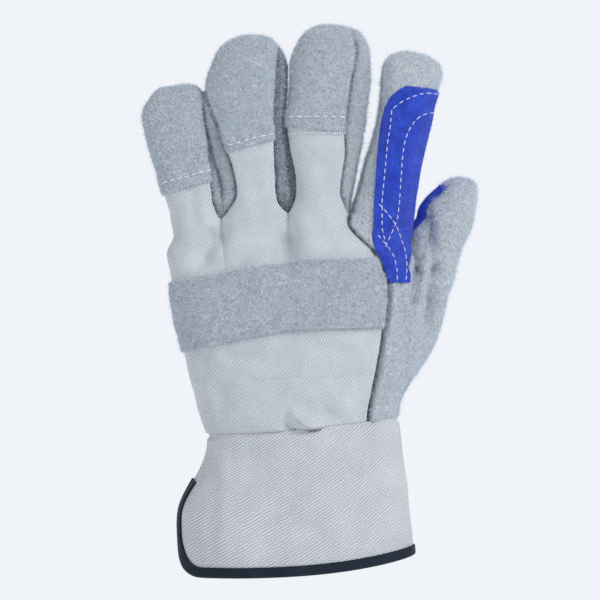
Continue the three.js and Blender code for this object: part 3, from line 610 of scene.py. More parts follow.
def relief(tree, shader, height, strength, depth):
    bump = addNode(tree, "ShaderNodeBump", {"Height": height, "Strength": strength, "Distance": depth * mm})
    tree.links.new(bump.outputs["Normal"], shader.inputs["Normal"])


# Painted shade: dark lines in the seams, where shadow falls in the stitched folds, from the mesh's own
# measure of how near a seam is
darkestPaintedSeamShade = 0.1


def paintedSeamShade(tree, colour):
    near = addNode(tree, "ShaderNodeAttribute", attribute_name="seam").outputs["Fac"]
    return toned(tree, colour, stretch(tree, near, 0.0, 1.0, 1.0, darkestPaintedSeamShade))


# Colour that moves between two tones by a noise in object coordinates
def mottle(tree, position, tones, size, contrast, levels):
    field = noiseField(tree, position, size, Detail=levels, Roughness=0.6)
    share = stretch(tree, field, 0.5 - contrast, 0.5 + contrast)
    inputs = {"Factor": share, "A": linear(tones[0]), "B": linear(tones[1])}
    return addNode(tree, "ShaderNodeMix", inputs, data_type="RGBA").outputs["Result"]


# Split leather: pale grey hide with its fibres raised, cloudy in tone, with a soft nap. Its
# fibres run from the darkest to the lightest share of the cloud's tone.
hide = {
    "cloudSize": 6,
    "cloudContrast": 0.16,
    "fibreSize": 1.1,
    "fibreContrast": 0.12,
    "fibreTwist": 1.6,
    "grainSize": 3,
    "grainTwist": 0.8,
    "depth": 1.5,
    "roughness": 0.95,
}


def splitLeather(name, dark, light, sheen, darkest, lightest):
    material, tree, shader = newMaterial(name, light, hide["roughness"], sheen)
    position = addNode(tree, "ShaderNodeTexCoord").outputs["Object"]
    clouds = mottle(tree, position, (dark, light), hide["cloudSize"], hide["cloudContrast"], 8)
    fibres = noiseField(
        tree, position, hide["fibreSize"], Detail=4, Roughness=0.75, Distortion=hide["fibreTwist"])
    specks = stretch(
        tree, fibres, 0.5 - hide["fibreContrast"], 0.5 + hide["fibreContrast"], darkest, lightest)
    tree.links.new(paintedSeamShade(tree, toned(tree, clouds, specks)), shader.inputs["Base Color"])
    grain = noiseField(
        tree, position, hide["grainSize"], Detail=6, Roughness=0.7, Distortion=hide["grainTwist"])
    relief(tree, shader, calculate(tree, "ADD", grain, fibres), 1.0, hide["depth"])
    return material


# Twill: diagonal ridges at the given angle to the first coordinate, crossed by finer threads.
# Its coordinates are the piece's own in metres, or those along the cloth.
weave = {
    "cloudSize": 14,
    "cloudContrast": 0.2,
    "wobbleSize": 5,
    "wobble": 1.2,
    "crossTurn": 45,
    "crossTempo": 1.7,
    "cross": 0.35,
    "fluffSize": 0.6,
    "fluff": 1.6,
    "lowest": -0.6,
    "highest": 2.2,
    "darkest": 0.6,
    "lightest": 1.14,
    "strength": 0.5,
}


def twill(name, dark, light, coordinates, angle, pitch, depth, roughness, sheen):
    material, tree, shader = newMaterial(name, light, roughness, sheen)
    source = addNode(tree, "ShaderNodeTexCoord")
    position = source.outputs["Object"]
    cloth = addNode(tree, "ShaderNodeSeparateXYZ", {"Vector": source.outputs[coordinates]}).outputs
    first, second = cloth["X"], cloth["Y" if coordinates == "UV" else "Z"]
    wobble = noiseField(tree, position, weave["wobbleSize"], Detail=3)
    ridges = []
    for turn, tempo in ((90, 1), (weave["crossTurn"], weave["crossTempo"])):
        a = np.radians(angle + turn)
        part = calculate(tree, "MULTIPLY", first, np.cos(a) / (pitch * mm))
        across = calculate(tree, "MULTIPLY_ADD", second, np.sin(a) / (pitch * mm), part)
        bent = calculate(tree, "MULTIPLY_ADD", wobble, weave["wobble"], across)
        ridges.append(calculate(tree, "SINE", calculate(tree, "MULTIPLY", bent, 2 * np.pi * tempo)))
    crossed = calculate(tree, "MULTIPLY_ADD", ridges[1], weave["cross"], ridges[0])
    fluff = noiseField(tree, position, weave["fluffSize"], Detail=4, Roughness=0.7)
    height = calculate(tree, "MULTIPLY_ADD", fluff, weave["fluff"], crossed)
    clouds = mottle(tree, position, (dark, light), weave["cloudSize"], weave["cloudContrast"], 5)
    # The colour follows the weave's height: painted shade in the grooves and painted light on the ridges,
    # beside the relief
    shade = stretch(tree, height, weave["lowest"], weave["highest"], weave["darkest"], weave["lightest"])
    tree.links.new(paintedSeamShade(tree, toned(tree, clouds, shade)), shader.inputs["Base Color"])
    relief(tree, shader, height, weave["strength"], depth)
    return material


canvas = twill("cotton canvas", "#d8dee5", "#e7edf3", "Object", 60, 1.08, 0.3, 0.95, 0.2)
leather = splitLeather("split leather", "#dbe6f1", "#eaf3fc", 0.35, 0.5, 1.33)
paleLeather = splitLeather("pale split leather", "#e6effa", "#f5fafe", 0.35, 0.52, 1.4)
gussetLeather = splitLeather("split leather between the fingers", "#d8e3ed", "#eef6fd", 0.3, 0.5, 1.25)
# A darker copy of the split leather: painted shade for the strip deep in the narrow gap between the ring
# and middle fingers
leatherWithPaintedShade = splitLeather("split leather with painted shade in the narrow gap", "#84929e", "#adbbc7", 0.2, 0.5, 1.25)
suede = splitLeather("blue suede", "#274cda", "#3b65fc", 0.2, 0.7, 1.3)
cuffCloth = twill("rubberised cotton twill", "#dae0e5", "#eaeff3", "UV", 30, 1.45, 0.4, 0.8, 0.1)
tape = twill("woven binding tape", "#172231", "#22303f", "UV", 90, 0.9, 0.12, 0.75, 0.1)
whiteThread = newMaterial("white sewing thread", "#f2f6fa", 0.7, 0.2)[0]
blueThread = newMaterial("light blue sewing thread", "#d2dafb", 0.7, 0.2)[0]
print("materials ready")

# Skin of the glove: strips of the fingers and of the hand, merged along their shared edges.
# Seams are lines where the strips' edges are drawn in.
skin = {
    "fingerRows": 130,
    "frontColumns": 46,
    "sideColumns": 26,
    "handRows": 150,
    "seamDepth": 2.2,
    "seamWidth": 1.15,
    "shadeWidth": 0.9,
    "rollHeight": 1.1,
    "rollAt": 3.2,
    "rollWidth": 1.6,
    "puckerDepth": 0.22,
    "puckerWidth": 4.5,
    "puckerPitch": 5.2,
    "crotchSeam": 1.3,
}
capStart = {0: (0.215, 0.262), 1: (0.337, 0.407), 2: (0.437, 0.422)}
cap = {"rise": 1.5, "edge": 0.7, "sideRoll": 3.5, "fadeFrom": 6, "fadeLength": 7, "rowsApart": 0.012}
capRows = np.array([0, 0.1, 0.25, 0.45, 0.7, 1])
sideNames = ["front", "right", "back", "left"]
gussets = ["gusset_little_ring", "gusset_ring_middle", "gusset_middle_index"]
capNames = ["fingertip_little", "fingertip_ring", "fingertip_middle"]

# Depth of the seams and of the painted shade in them at the start and the end of each side's
# columns, as shares. They fade out towards the fingertip.
seamFade = {"share": 0.9, "from": 0.88, "length": 0.1}
fingerSeams = {
    0: {"front": (0.8, 1), "right": (1, 0.8), "back": (0.8, 0.8), "left": (0.8, 0.8)},
    1: {"front": (1, 1), "right": (1, 0.8), "back": (0.8, 0.8), "left": (0.8, 1)},
    2: {"front": (1, 1), "right": (1, 0.8), "back": (0.8, 0.8), "left": (0.8, 1)},
    3: {"front": (1, 0), "right": (0, 0), "back": (0, 0.8), "left": (0.8, 1)},
    4: {"front": (0.1, 0.5), "right": (0.5, 0.5), "back": (0.5, 0.1), "left": (0.1, 0.1)},
}

# How far the strips between the fingers swell to meet each other, and the thumb's side towards
# the index finger. Each swell grows from the base and fades out at a share of the length.
swell = {"base": 0.06, "crotch": 2.2, "crotchAt": 4, "crotchLength": 6}
gussetSwell = {"rise": 0.9, "fadeFrom": 0.75, "fadeLength": 0.2}
thumbSwell = {"rise": 5, "fadeFrom": 0.3, "fadeLength": 0.35}
swellingSides = [(0, "right"), (1, "left"), (1, "right"), (2, "left")]


def swollen(t, s, settings, crotch=0.0):
    fade = 1 - ease((s - settings["fadeFrom"]) / settings["fadeLength"])
    return (settings["rise"] * ease(s / swell["base"]) * fade + crotch) * arch(t)


# Blue suede round the index finger. Rows: height as a share of the finger, or below 0 of the
# leather under it, then left and right edge as shares round the finger
patch = {"rise": 1.3, "drape": 30, "edge": 0.7, "ripple": 0.15, "ripplePitch": 4, "topSlope": 0.045,
         "footFront": 0.335, "footBack": 0.075}
patchRows = table(["at", "left", "right"], [
    [-1, 0.01, 0.84],
    [-0.75, 0.01, 0.86],
    [-0.5, 0.13, 0.87],
    [-0.25, 0.33, 0.88],
    [0, 0.34, 0.9],
    [0.03, 0.355, 0.95],
    [0.08, 0.36, 1.3],
    [0.14, 0.35, 2],
    [0.22, 0.32, 2.4],
    [0.4, 0.2, 2.5],
    [0.5, 0.12, 2.5],
    [0.6, 0.085, 2.5],
    [0.7, 0.13, 2.5],
    [0.76, 0.24, 2.45],
    [0.8, 0.45, 2.3],
])

# Suede on the thumb's side towards the fingers. Rows: height as a share of the thumb, and how
# far the suede reaches round to the front
thumbPatchRows = table(["at", "front"], [
    [0.15, 0.4], [0.3, 0.54], [0.4, 0.7], [0.5, 0.82], [0.6, 0.88], [0.75, 0.94], [0.88, 0.97]])
# How far a point of the skin lies under the suede, 0 to 1. The place goes round the finger as
# the patch's own rows do, and the skin counts as covered up to just inside the suede's ends.
covered = {"edge": 0.06, "depth": 0.7, "indexFoot": 0.33, "indexTop": 0.78,
           "thumbFoot": 0.17, "thumbTop": 0.86}


def underIndexPatch(around, height):
    left, right = along(patchRows, "left", height), along(patchRows, "right", height)
    inside = np.minimum(np.minimum(around - left, right - around), (covered["indexTop"] - height) / 2)
    return clamp(inside / covered["edge"])


def underThumbPatch(around, height):
    front = along(thumbPatchRows, "front", height) - around
    ends = np.minimum(height - covered["thumbFoot"], covered["thumbTop"] - height)
    return clamp(np.minimum(front, ends) / covered["edge"])


# How far a seam draws a strip's edges in, in millimetres, and how much painted shade it lays along them, 0
# to 1
def seamPull(points, seams, rowSeams):
    pulled = 0
    shade = np.zeros(points.shape[:2])
    for distance, share in zip(fromEdges(points), (*seams, *rowSeams)):
        shade = np.maximum(shade, clamp(share) * bell(distance, skin["shadeWidth"]))
        pucker = skin["puckerDepth"] * bell(distance, skin["puckerWidth"])
        wave = noise(points, skin["puckerPitch"], 3)
        pulled = pulled + share * (skin["seamDepth"] * bell(distance, skin["seamWidth"]) + pucker * wave)
    return pulled, shade


# A turned edge of leather that stands up along a strip's low side
def turnedEdge(points):
    low = runs(points)[0]
    return skin["rollHeight"] * bell(low - skin["rollAt"], skin["rollWidth"])


strips = []


def addStrip(points, owner, front, seams, rowSeams=(0, 0), lift=0.0, under=0.0):
    pulled, shade = seamPull(points, seams, rowSeams)
    height = wear(points, front) - pulled + lift - covered["depth"] * under
    under = np.broadcast_to(under, height.shape)
    strips.append({"points": points, "owner": owner, "height": height, "shade": shade, "under": under})


# Columns over a front or a back, closer together at the seams
def frontColumns():
    return 0.5 - 0.5 * np.cos(np.pi * steps(0, 1, skin["frontColumns"]))


# Rows of a finger, close together at the cap's edge, and the cap's edge slanted round the finger
def fingerGrid(k, side):
    rows = steps(0, 1, skin["fingerRows"])
    columns = frontColumns() if side in ("front", "back") else steps(0, 1, skin["sideColumns"])
    if k not in capStart:
        r, t = grid(rows, columns)
        return r, t, r, None
    low, high = capStart[k]
    middle = (low + high) / 2
    edgeRows = middle + capRows / fingers[k]["length"]
    rows = np.unique(np.concatenate([rows[np.abs(rows - middle) > cap["rowsApart"]], edgeRows]))
    share = {"front": columns, "right": 1, "back": 1 - columns, "left": 0}[side]
    r, t = grid(rows, columns)
    hat = np.where(r < middle, r / middle, (1 - r) / (1 - middle))
    return r, t, r + (mix(low, high, share) - middle) * hat, middle


for k in range(5):
    for side in sideNames:
        r, t, s, middle = fingerGrid(k, side)
        points = fingerPoint(k, side, t, s)
        lift = 0.0
        owner = np.empty(r.shape, object)
        if k < 3:
            owner[:] = {"front": "back_panel", "back": "palm_panel", "right": gussets[k],
                        "left": gussets[k - 1] if k else "palm_panel"}[side]
            if side == "front":
                owner[r >= middle - 1e-6] = capNames[k]
                run = (r - middle) * fingers[k]["length"]
                low, high = runs(points)
                raised = roll(run, cap["edge"]) * (1 - ease((run - cap["fadeFrom"]) / cap["fadeLength"]))
                lift = cap["rise"] * raised * roll(np.minimum(low, high), cap["sideRoll"]) * (run > 0)
            if (k, side) in swellingSides:
                fromCrotch = s * fingers[k]["length"] - swell["crotchAt"]
                lift = swollen(t, s, gussetSwell, swell["crotch"] * bell(fromCrotch, swell["crotchLength"]))
        elif k == 3:
            owner[:] = gussets[2] if side == "left" else "index_finger"
        else:
            owner[:] = "thumb"
            if side == "left":
                lift = swollen(t, s, thumbSwell)
        under = 0.0
        if k == 3 and side != "left":
            under = underIndexPatch(sideNames.index(side) + t, np.maximum(s, 1e-6))
        elif k == 4 and side == "left":
            under = underThumbPatch(t, s)
        fade = 1 - seamFade["share"] * ease((s - seamFade["from"]) / seamFade["length"])
        seams = [share * fade for share in fingerSeams[k][side]]
        addStrip(points, owner, side != "back", seams, (0, 0), lift, under)

rowsDown = np.array([0, 0.04, 0.1, 0.18, 0.27, 0.34, 0.43, 0.54, 0.66, 0.78, 0.89, 1])
thumbRowsDown = np.array([0, 0.01, 0.02, 0.03, 0.045, 0.06, 0.18, 0.33, 0.5, 0.67, 0.84, 1])
indexEnd = 0.34
handSeams = {0: (0.8, 0), 1: (0, 0), 2: (0, 1), 3: (1, 0), 4: (0, 0.6)}
palmSeams = {0: (0, 0.8), 1: (0, 0), 2: (0, 0), 3: (0, 0), 4: (0.6, 0)}

# The seam from the index finger's base down to the cuff grows deeper, and its painted shade
# darker, below the suede, where the leather's edge stands up beside it
longSeam = {"top": 0.5, "growth": 1.3, "from": 0.2, "length": 0.15, "turnLength": 0.1}
for k in range(5):
    for sign in (-1, 1):
        w = steps(1, 0, skin["handRows"])
        u = frontColumns()[::-sign]
        lowW = np.interp(w, rowsDown, thumbRowsDown) if k == 4 else w
        highW = np.interp(w, rowsDown, thumbRowsDown) if k >= 3 else w
        lows, us = grid(lowW, u)
        highs = grid(highW, u)[0]
        points = handPoint(k, sign, us, lows, highs)
        owner = np.empty(us.shape, object)
        if sign > 0:
            owner[:] = "palm_panel"
        elif k < 3:
            owner[:] = "back_panel"
        else:
            owner[:] = "thumb"
            if k == 3:
                owner[lows < indexEnd + 1e-6] = "index_finger"
        seams = handSeams[k] if sign < 0 else palmSeams[k]
        below = lows - longSeam["from"]
        lift = under = 0.0
        if k in (2, 3) and sign < 0:
            growth = longSeam["top"] + longSeam["growth"] * ease(below / longSeam["length"])
            seams = [share * growth for share in seams]
        if k == 3 and sign < 0:
            lift = turnedEdge(points) * ease(below / longSeam["turnLength"])
            under = underIndexPatch(us, -lows / patch["footFront"]) * (lows < covered["indexFoot"])
        addStrip(points, owner, sign < 0, seams, (skin["crotchSeam"], 0), lift, under)


# All strips' values of one name, in one row
def gathered(name):
    return np.concatenate([strip[name].ravel() for strip in strips])


starts = np.concatenate([[0], np.cumsum([strip["height"].size for strip in strips])])
allFaces = np.concatenate([
    gridFaces(*strip["height"].shape, start) for strip, start in zip(strips, starts)])
faceOwner = np.concatenate([strip["owner"][:-1, :-1].ravel() for strip in strips])
skinVertices, skinFaces, skinIndex = merged(gathered("points").reshape(-1, 3), allFaces)
meetings = np.bincount(skinIndex)
skinHeights = np.bincount(skinIndex, gathered("height")) / meetings
skinUnder = np.bincount(skinIndex, gathered("under")) / meetings
# Painted shade along the seams: the darkest of the strips' values at each point, kept as the mesh's measure
# named seam
skinShade = np.zeros(len(skinVertices))
np.maximum.at(skinShade, skinIndex, gathered("shade"))
skinVertices = skinVertices + vertexNormals(skinVertices, skinFaces) * skinHeights[:, None]
print("skin", len(skinVertices), "vertices")

skinLooks = {
    "back_panel": (canvas, "canvas"),
    "palm_panel": (leather, "split_leather"),
    "index_finger": (paleLeather, "split_leather"),
    "thumb": (paleLeather, "split_leather"),
    **{name: (gussetLeather, "split_leather") for name in gussets},
    gussets[1]: (leatherWithPaintedShade, "split_leather"),
    **{name: (leather, "split_leather") for name in capNames},
}
pieces = {}
for name, (material, slot) in skinLooks.items():
    faces = skinFaces[faceOwner == name]
    piece = makeMesh("looks_" + name, skinVertices, faces, material,
                     measures={"seam": skinShade, "under": skinUnder})
    pieces[name] = place(piece, slot, name)


# Cloth pulled smooth over a crease: each point moves to the middle of its neighbours in rows,
# weighted 1 2 1, over and over
def drape(points, times):
    points = points.copy()
    for _ in range(times):
        points[1:-1] = (points[:-2] + 2 * points[1:-1] + points[2:]) / 4
    return points


# A sheet sewn on top of the skin: its points lie on the skin, its edges are rolled down
def sewnSheet(node, points, settings, material, slot, lift=0.0):
    faces = gridFaces(*points.shape[:2])
    base = points.reshape(-1, 3)
    normals = vertexNormals(base, faces).reshape(points.shape)
    edge = np.min(fromEdges(points), axis=0)
    height = wear(points, True) + lift + settings["rise"] * roll(edge, settings["edge"])
    height = height + settings["ripple"] * noise(points, settings["ripplePitch"], 4) * bell(edge, 5)
    height = height - settings.get("stitchDepth", 0) * bell(edge - settings.get("stitchIn", 0), 0.9)
    raised = points + normals * height[..., None]
    return place(makeMesh("looks_" + node, raised.reshape(-1, 3), faces, material), slot, node)


# Leather band across the knuckles
band = {"rise": 2.0, "edge": 0.9, "ripple": 0.35, "ripplePitch": 4, "height": 34,
        "stitchDepth": 0.35, "stitchIn": 2.5, "end": 2.975}
bandTop = np.array([0.69, 0.735, 0.785, 0.798])
columns = steps(0, band["end"], 190)
rows = steps(1, 0, 64)
bandParts = []
for k in range(3):
    u = columns[(columns >= k) & ((columns < k + 1) | (k == 2))] - k
    top = cuffHeight + handHeight * mix(bandTop[k], bandTop[k + 1], u)
    start = mix(cornerZ[k], cornerZ[k + 1], u)
    foot = mix(linePoint(k, 1.0)[1], linePoint(k + 1, 1.0)[1], u)
    drop = (start - top + rows[:, None] * band["height"]) / (start - foot)
    us = np.broadcast_to(u, drop.shape)
    bandParts.append(handPoint(k, -1, us, drop, drop))
bandPoints = np.concatenate(bandParts, axis=1)
pieces["knuckle_band"] = sewnSheet("knuckle_band", bandPoints, band, leather, "split_leather")


# Points round the index finger: q runs from the front over the right side to the back, v from
# the foot of the leather under the suede, below 0, to the fingertip
def indexAround(q, v):
    s = np.maximum(v, 0)
    down = np.maximum(-v, 0)
    spots = [
        (v <= 0, lambda: handPoint(3, -1, clamp(q), patch["footFront"] * down, patch["footBack"] * down)),
        ((v > 0) & (q <= 1), lambda: fingerPoint(3, "front", clamp(q), s)),
        ((v > 0) & (q > 1) & (q <= 2), lambda: fingerPoint(3, "right", clamp(q - 1), s)),
        ((v > 0) & (q > 2), lambda: fingerPoint(3, "back", clamp(q - 2), s)),
    ]
    points = np.zeros((*q.shape, 3))
    for where, make in spots:
        points[where] = make()[where]
    return points


v, share = grid(steps(-1, patchRows["at"][-1], 190), steps(0, 1, 120))
q = mix(along(patchRows, "left", v), along(patchRows, "right", v), share)
v = np.where(v > 0, v + patch["topSlope"] * clamp(q) * clamp(v) ** 4, v)
patchPoints = drape(indexAround(q, v), patch["drape"])
pieces["index_patch"] = sewnSheet("index_patch", patchPoints, patch, suede, "blue_suede")

thumbPatch = {"rise": 0.7, "edge": 0.5, "ripple": 0.1, "ripplePitch": 4}
s, t = grid(steps(thumbPatchRows["at"][0], thumbPatchRows["at"][-1], 60), steps(0, 1, 40))
t = t * along(thumbPatchRows, "front", s)
pieces["thumb_patch"] = sewnSheet(
    "thumb_patch", fingerPoint(4, "left", t, s), thumbPatch, suede, "blue_suede",
    swollen(t, s, thumbSwell))
print("sewn sheets ready")

# Cuff: a flared sleeve, open at the little finger's side. The angle runs from there over the
# back of the hand and on round the palm side, h from the mouth to the seam with the hand.
cuff = {
    "wall": 1.8,
    "flareLittle": 14,
    "flareThumb": 7,
    "mouthDepth": 50,
    "mouthRise": 10,
    "mouthFoot": 1.5,
    "neck": 0.4,
    "neckLength": 0.54,
    "bulgeThumb": 0.06,
    "slitWidth": 5,
    "slitHeight": 47,
    "corner": 20,
    "tape": 3.8,
    "tapeAtSlit": 6.5,
    "tapeThickness": 1.0,
    "tapeFold": 0.75,
    "tapeBelowSlit": 0.012,
    "tapeEndLength": 35,
    "tapeEndFade": 25,
    "tapeWaver": 0.12,
    "foldFrom": 0.15,
    "walkSteps": 6,
    "underHand": 1.6,
    "tuck": 1.1,
    "tuckLength": 1.2,
}


def cuffPoint(angle, h):
    angle = np.mod(angle, 2 * np.pi)
    turn = np.where(angle <= np.pi, angle, 2 * np.pi - angle)
    sign = np.where(angle <= np.pi, -1, 1)
    share = -np.sign(np.cos(turn)) * np.abs(np.cos(turn)) ** (2 / handRound)
    topX = mix(footLow, footHigh, (share + 1) / 2)
    topZ = seamZ(topX)
    topY = np.where(sign < 0, handY(topX, topZ, -1), handY(topX, topZ, 1))
    mouthX = mix(footLow - cuff["flareLittle"], footHigh + cuff["flareThumb"], (share + 1) / 2)
    mouthZ = cuff["mouthFoot"] + cuff["mouthRise"] * ((share + 1) / 2) ** 3
    mouthY = sign * cuff["mouthDepth"] / 2 * rounded(share, handRound)
    little = ease((h - cuff["neck"]) / cuff["neckLength"])
    thumb = h - cuff["bulgeThumb"] * np.sin(np.pi * h)
    flare = mix(little, thumb, (share + 1) / 2)
    return np.stack([mix(mouthX, topX, flare), mix(mouthY, topY, flare), mix(mouthZ, topZ, h)], -1)


def cuffFrame(angle, h):
    step = 1e-3
    around = (cuffPoint(angle + step, h) - cuffPoint(angle - step, h)) / (2 * step)
    up = (cuffPoint(angle, h + step) - cuffPoint(angle, h - step)) / (2 * step)
    normal = np.cross(around, up)
    return around, up, unit(normal)


slitAngle = (cuff["slitWidth"] / cuff["mouthDepth"]) ** (handRound / 2)
slitTop = cuff["slitHeight"] / cuffHeight
edgeAngles = steps(slitAngle, 2 * np.pi - slitAngle, 380)
mouthLine = cuffPoint(edgeAngles, np.zeros_like(edgeAngles))
mouthRun = lengthAlong(mouthLine)


# Height of the cuff's free edge: round flap corners beside the slit
def edgeShare(angle):
    run = np.interp(angle, edgeAngles, mouthRun)
    left = clamp(1 - np.minimum(run, mouthRun[-1] - run) / cuff["corner"])
    return cuff["corner"] * (1 - np.sqrt(1 - left ** 2)) / cuffHeight


cuffFolds = [
    [-35, 64, -36, 14, 3.5, -0.9],
    [-22, 66, -24, 40, 5, 0.8],
    [8, 66, 2, 36, 7, -0.9],
    [30, 72, 26, 44, 6, 0.7],
    [-48, 60, -50, 30, 4, 0.6],
]


# Dents, waves and creases of the stiff cloth, in millimetres
cuffDents = [(0.7, 34), (0.25, 12)]


def cuffWear(points):
    creases = np.where(points[..., 1] < 0, folds(points, cuffFolds), 0)
    return layered(points, cuffDents, 5) - creases


cuffTop = 1 + cuff["underHand"] / cuffHeight
share, angle = grid(steps(0, 1, 110), edgeAngles)
h = mix(edgeShare(angle), cuffTop, share)
bridgeH, bridgeAngle = grid(steps(slitTop, cuffTop, 36), np.linspace(-slitAngle, slitAngle, 9))
cuffGrids = [(angle, h), (np.mod(bridgeAngle, 2 * np.pi), bridgeH)]
cuffUv = []
cuffPoints = []
for angle, h in cuffGrids:
    points = cuffPoint(angle, h)
    normal = cuffFrame(angle, np.clip(h, 0, 0.99))[2]
    tuck = cuff["tuck"] * bell(np.maximum(0, 1 - h) * cuffHeight, cuff["tuckLength"])
    points = points + normal * (cuffWear(points) - tuck)[..., None]
    cuffPoints.append(points.reshape(-1, 3))
    run = np.interp(angle, edgeAngles, mouthRun)
    cuffUv.append(np.stack([run, h * cuffHeight], -1).reshape(-1, 2) * mm)
faces = np.concatenate([gridFaces(*share.shape), gridFaces(*bridgeH.shape, share.size)])
cuffMesh, cuffFaces = shell(np.concatenate(cuffPoints), faces, cuff["wall"])
uv = np.concatenate([*cuffUv, *cuffUv])
pieces["cuff"] = place(makeMesh("looks_cuff", cuffMesh, cuffFaces, cuffCloth, uv), "cuff_cloth", "cuff")

# Binding: tape folded over the free edge. Rows run from its outer arm's end round the fold to
# its inner arm's end, spots along the edge.
slitShares = steps(slitTop - cuff["tapeBelowSlit"], edgeShare(slitAngle), 60)
spotAngle = np.concatenate([np.full(len(slitShares), slitAngle), edgeAngles[1:-1],
                            np.full(len(slitShares), 2 * np.pi - slitAngle)])
spotH = np.concatenate([slitShares, edgeShare(edgeAngles[1:-1]), slitShares[::-1]])
edge = cuffPoint(spotAngle, spotH)
way = unit(np.gradient(edge, axis=0))
out = unit(np.cross(way, cuffFrame(spotAngle, spotH)[2]))


# Walks in from the free edge along the wall by the given distance
def walkIn(distance):
    angle, h = spotAngle.copy(), spotH.copy()
    for _ in range(cuff["walkSteps"]):
        around, up, normal = cuffFrame(angle, h)
        goal = out - normal * np.sum(out * normal, axis=1, keepdims=True)
        goal = unit(goal) * (-distance[:, None] / cuff["walkSteps"])
        aa, ab, bb = (np.sum(p * q, axis=1) for p, q in ((around, around), (around, up), (up, up)))
        ga, gb = np.sum(goal * around, axis=1), np.sum(goal * up, axis=1)
        size = aa * bb - ab * ab
        angle = angle + (ga * bb - gb * ab) / size
        h = h + (gb * aa - ga * ab) / size
    points = cuffPoint(angle, h)
    normal = cuffFrame(angle, h)[2]
    return points + normal * cuffWear(points)[:, None], normal


edgeRun = lengthAlong(edge)
fromEnd = np.minimum(edgeRun, edgeRun[-1] - edgeRun)
alongEdge = ease((fromEnd - cuff["tapeEndLength"]) / cuff["tapeEndFade"])
tapeWidth = mix(cuff["tapeAtSlit"], cuff["tape"], alongEdge)
half = cuff["wall"] / 2 + cuff["tapeThickness"]
rowsOfTape = []
armSteps = np.array([1, 1, 0.93, 0.8, 0.6, 0.4, 0.2, 0.05])
armLifts = np.array([-0.3, 0.55, 0.95, 1, 1, 1, 1, 1])
for side in (1, -1):
    arm = []
    for step, lift in zip(armSteps, armLifts):
        points, normal = walkIn(step * tapeWidth)
        middle = points - normal * cuff["wall"] / 2
        waver = cuff["tapeWaver"] * noise(points, 3.5, 8)
        height = cuff["wall"] / 2 + lift * cuff["tapeThickness"] + waver
        arm.append(middle + side * normal * height[:, None])
    rowsOfTape.append(arm if side > 0 else arm[::-1])
points, normal = walkIn(np.zeros_like(tapeWidth))
middle = points - normal * cuff["wall"] / 2
fold = [middle + half * (np.cos(a) * normal + cuff["tapeFold"] * np.sin(a) * out)
        for a in np.linspace(cuff["foldFrom"], np.pi - cuff["foldFrom"], 9)]
tapeRows = np.array([*rowsOfTape[0], *fold, *rowsOfTape[1]]).transpose(1, 0, 2)
acrossTape = runs(tapeRows)[0]
alongTape = np.broadcast_to(edgeRun[:, None], acrossTape.shape)
tapeUv = np.stack([acrossTape, alongTape], -1).reshape(-1, 2) * mm
faces = gridFaces(*tapeRows.shape[:2])
pieces["cuff_binding"] = place(
    makeMesh("looks_cuff_binding", tapeRows.reshape(-1, 3), faces[:, ::-1], tape, tapeUv),
    "binding_tape", "cuff_binding")
print("cuff ready")


# Stitches: short curved pieces of thread along lines drawn on the front, each end set on the
# surface behind it. Lines are in millimetres across and up.
def overSurface(names):
    graph = bpy.context.evaluated_depsgraph_get()
    return [BVHTree.FromObject(pieces[name], graph) for name in names]


def hitFront(trees, x, z):
    best = None
    for tree in trees:
        spot, normal, _, _ = tree.ray_cast(Vector((x * mm, -0.2, z * mm)), Vector((0, 1, 0)))
        if spot is not None and (best is None or spot.y < best[0].y):
            best = (spot, normal)
    return best


# How far each end of a stitch strays along its line
stitchJitter = 0.1


def stitchLine(line, trees, settings):
    run = lengthAlong(line)
    whole = run[-1] + settings["gap"]
    count = int(np.round(whole / (settings["length"] + settings["gap"])))
    pitch = whole / max(count, 1)
    stitches = []
    for i in range(count):
        ends = []
        for at in (i * pitch, i * pitch + settings["length"]):
            at = at + rng.normal(0, stitchJitter)
            x, z = (np.interp(at, run, line[:, a]) for a in range(2))
            ends.append(hitFront(trees, x, z))
        if None not in ends:
            stitches.append([np.array(ends[0][0]) / mm, np.array(ends[1][0]) / mm,
                             np.array(ends[0][1] + ends[1][1])])
    return stitches


# A thread from end to end, thick in the middle and sunk at its ends. Its sizes are shares of its
# radius.
threadForm = {"ends": 0.35, "arc": 1.3, "sunk": 0.7, "rings": 7, "corners": 6}


def stitchMesh(name, stitches, settings, material, slot):
    ends = np.array([s[0] for s in stitches]), np.array([s[1] for s in stitches])
    up = unit(np.array([s[2] for s in stitches]))
    up = np.where(up[:, 1:2] > 0, -up, up)
    way = ends[1] - ends[0]
    side = unit(np.cross(way, up))
    rings, corners = threadForm["rings"], threadForm["corners"]
    share = np.linspace(0, 1, rings)[:, None]
    turn = np.linspace(0, 2 * np.pi, corners + 1)[:-1]
    bulge = np.sin(np.pi * share)
    size = settings["radius"] * mix(threadForm["ends"], 1, bulge ** 0.5)
    height = settings["radius"] * (threadForm["arc"] * bulge - threadForm["sunk"]) + settings["lift"]
    start, way, up, side = (v[:, None, None, :] for v in (ends[0], way, up, side))
    rise = (height + size * np.sin(turn))[None, :, :, None]
    reach = (size * np.cos(turn))[None, :, :, None]
    points = start + way * share[None, :, :, None] + up * rise + side * reach
    count = len(stitches)
    i, j = grid(np.arange(rings - 1) * corners, np.arange(corners))
    after = (j + 1) % corners
    quad = np.stack([i + j, i + after, i + corners + after, i + corners + j], -1).reshape(-1, 4)
    faces = (quad[None] + (np.arange(count) * rings * corners)[:, None, None]).reshape(-1, 4)
    place(makeMesh(name, points.reshape(-1, 3), faces, material), slot)


thread = {"length": 2.7, "gap": 1.1, "radius": 0.36, "lift": 0.6}
fineThread = {"length": 2.4, "gap": 1.2, "radius": 0.3, "lift": 0.2}
overcast = {"length": 1.7, "gap": 0.1, "radius": 0.3, "lift": 0.35}


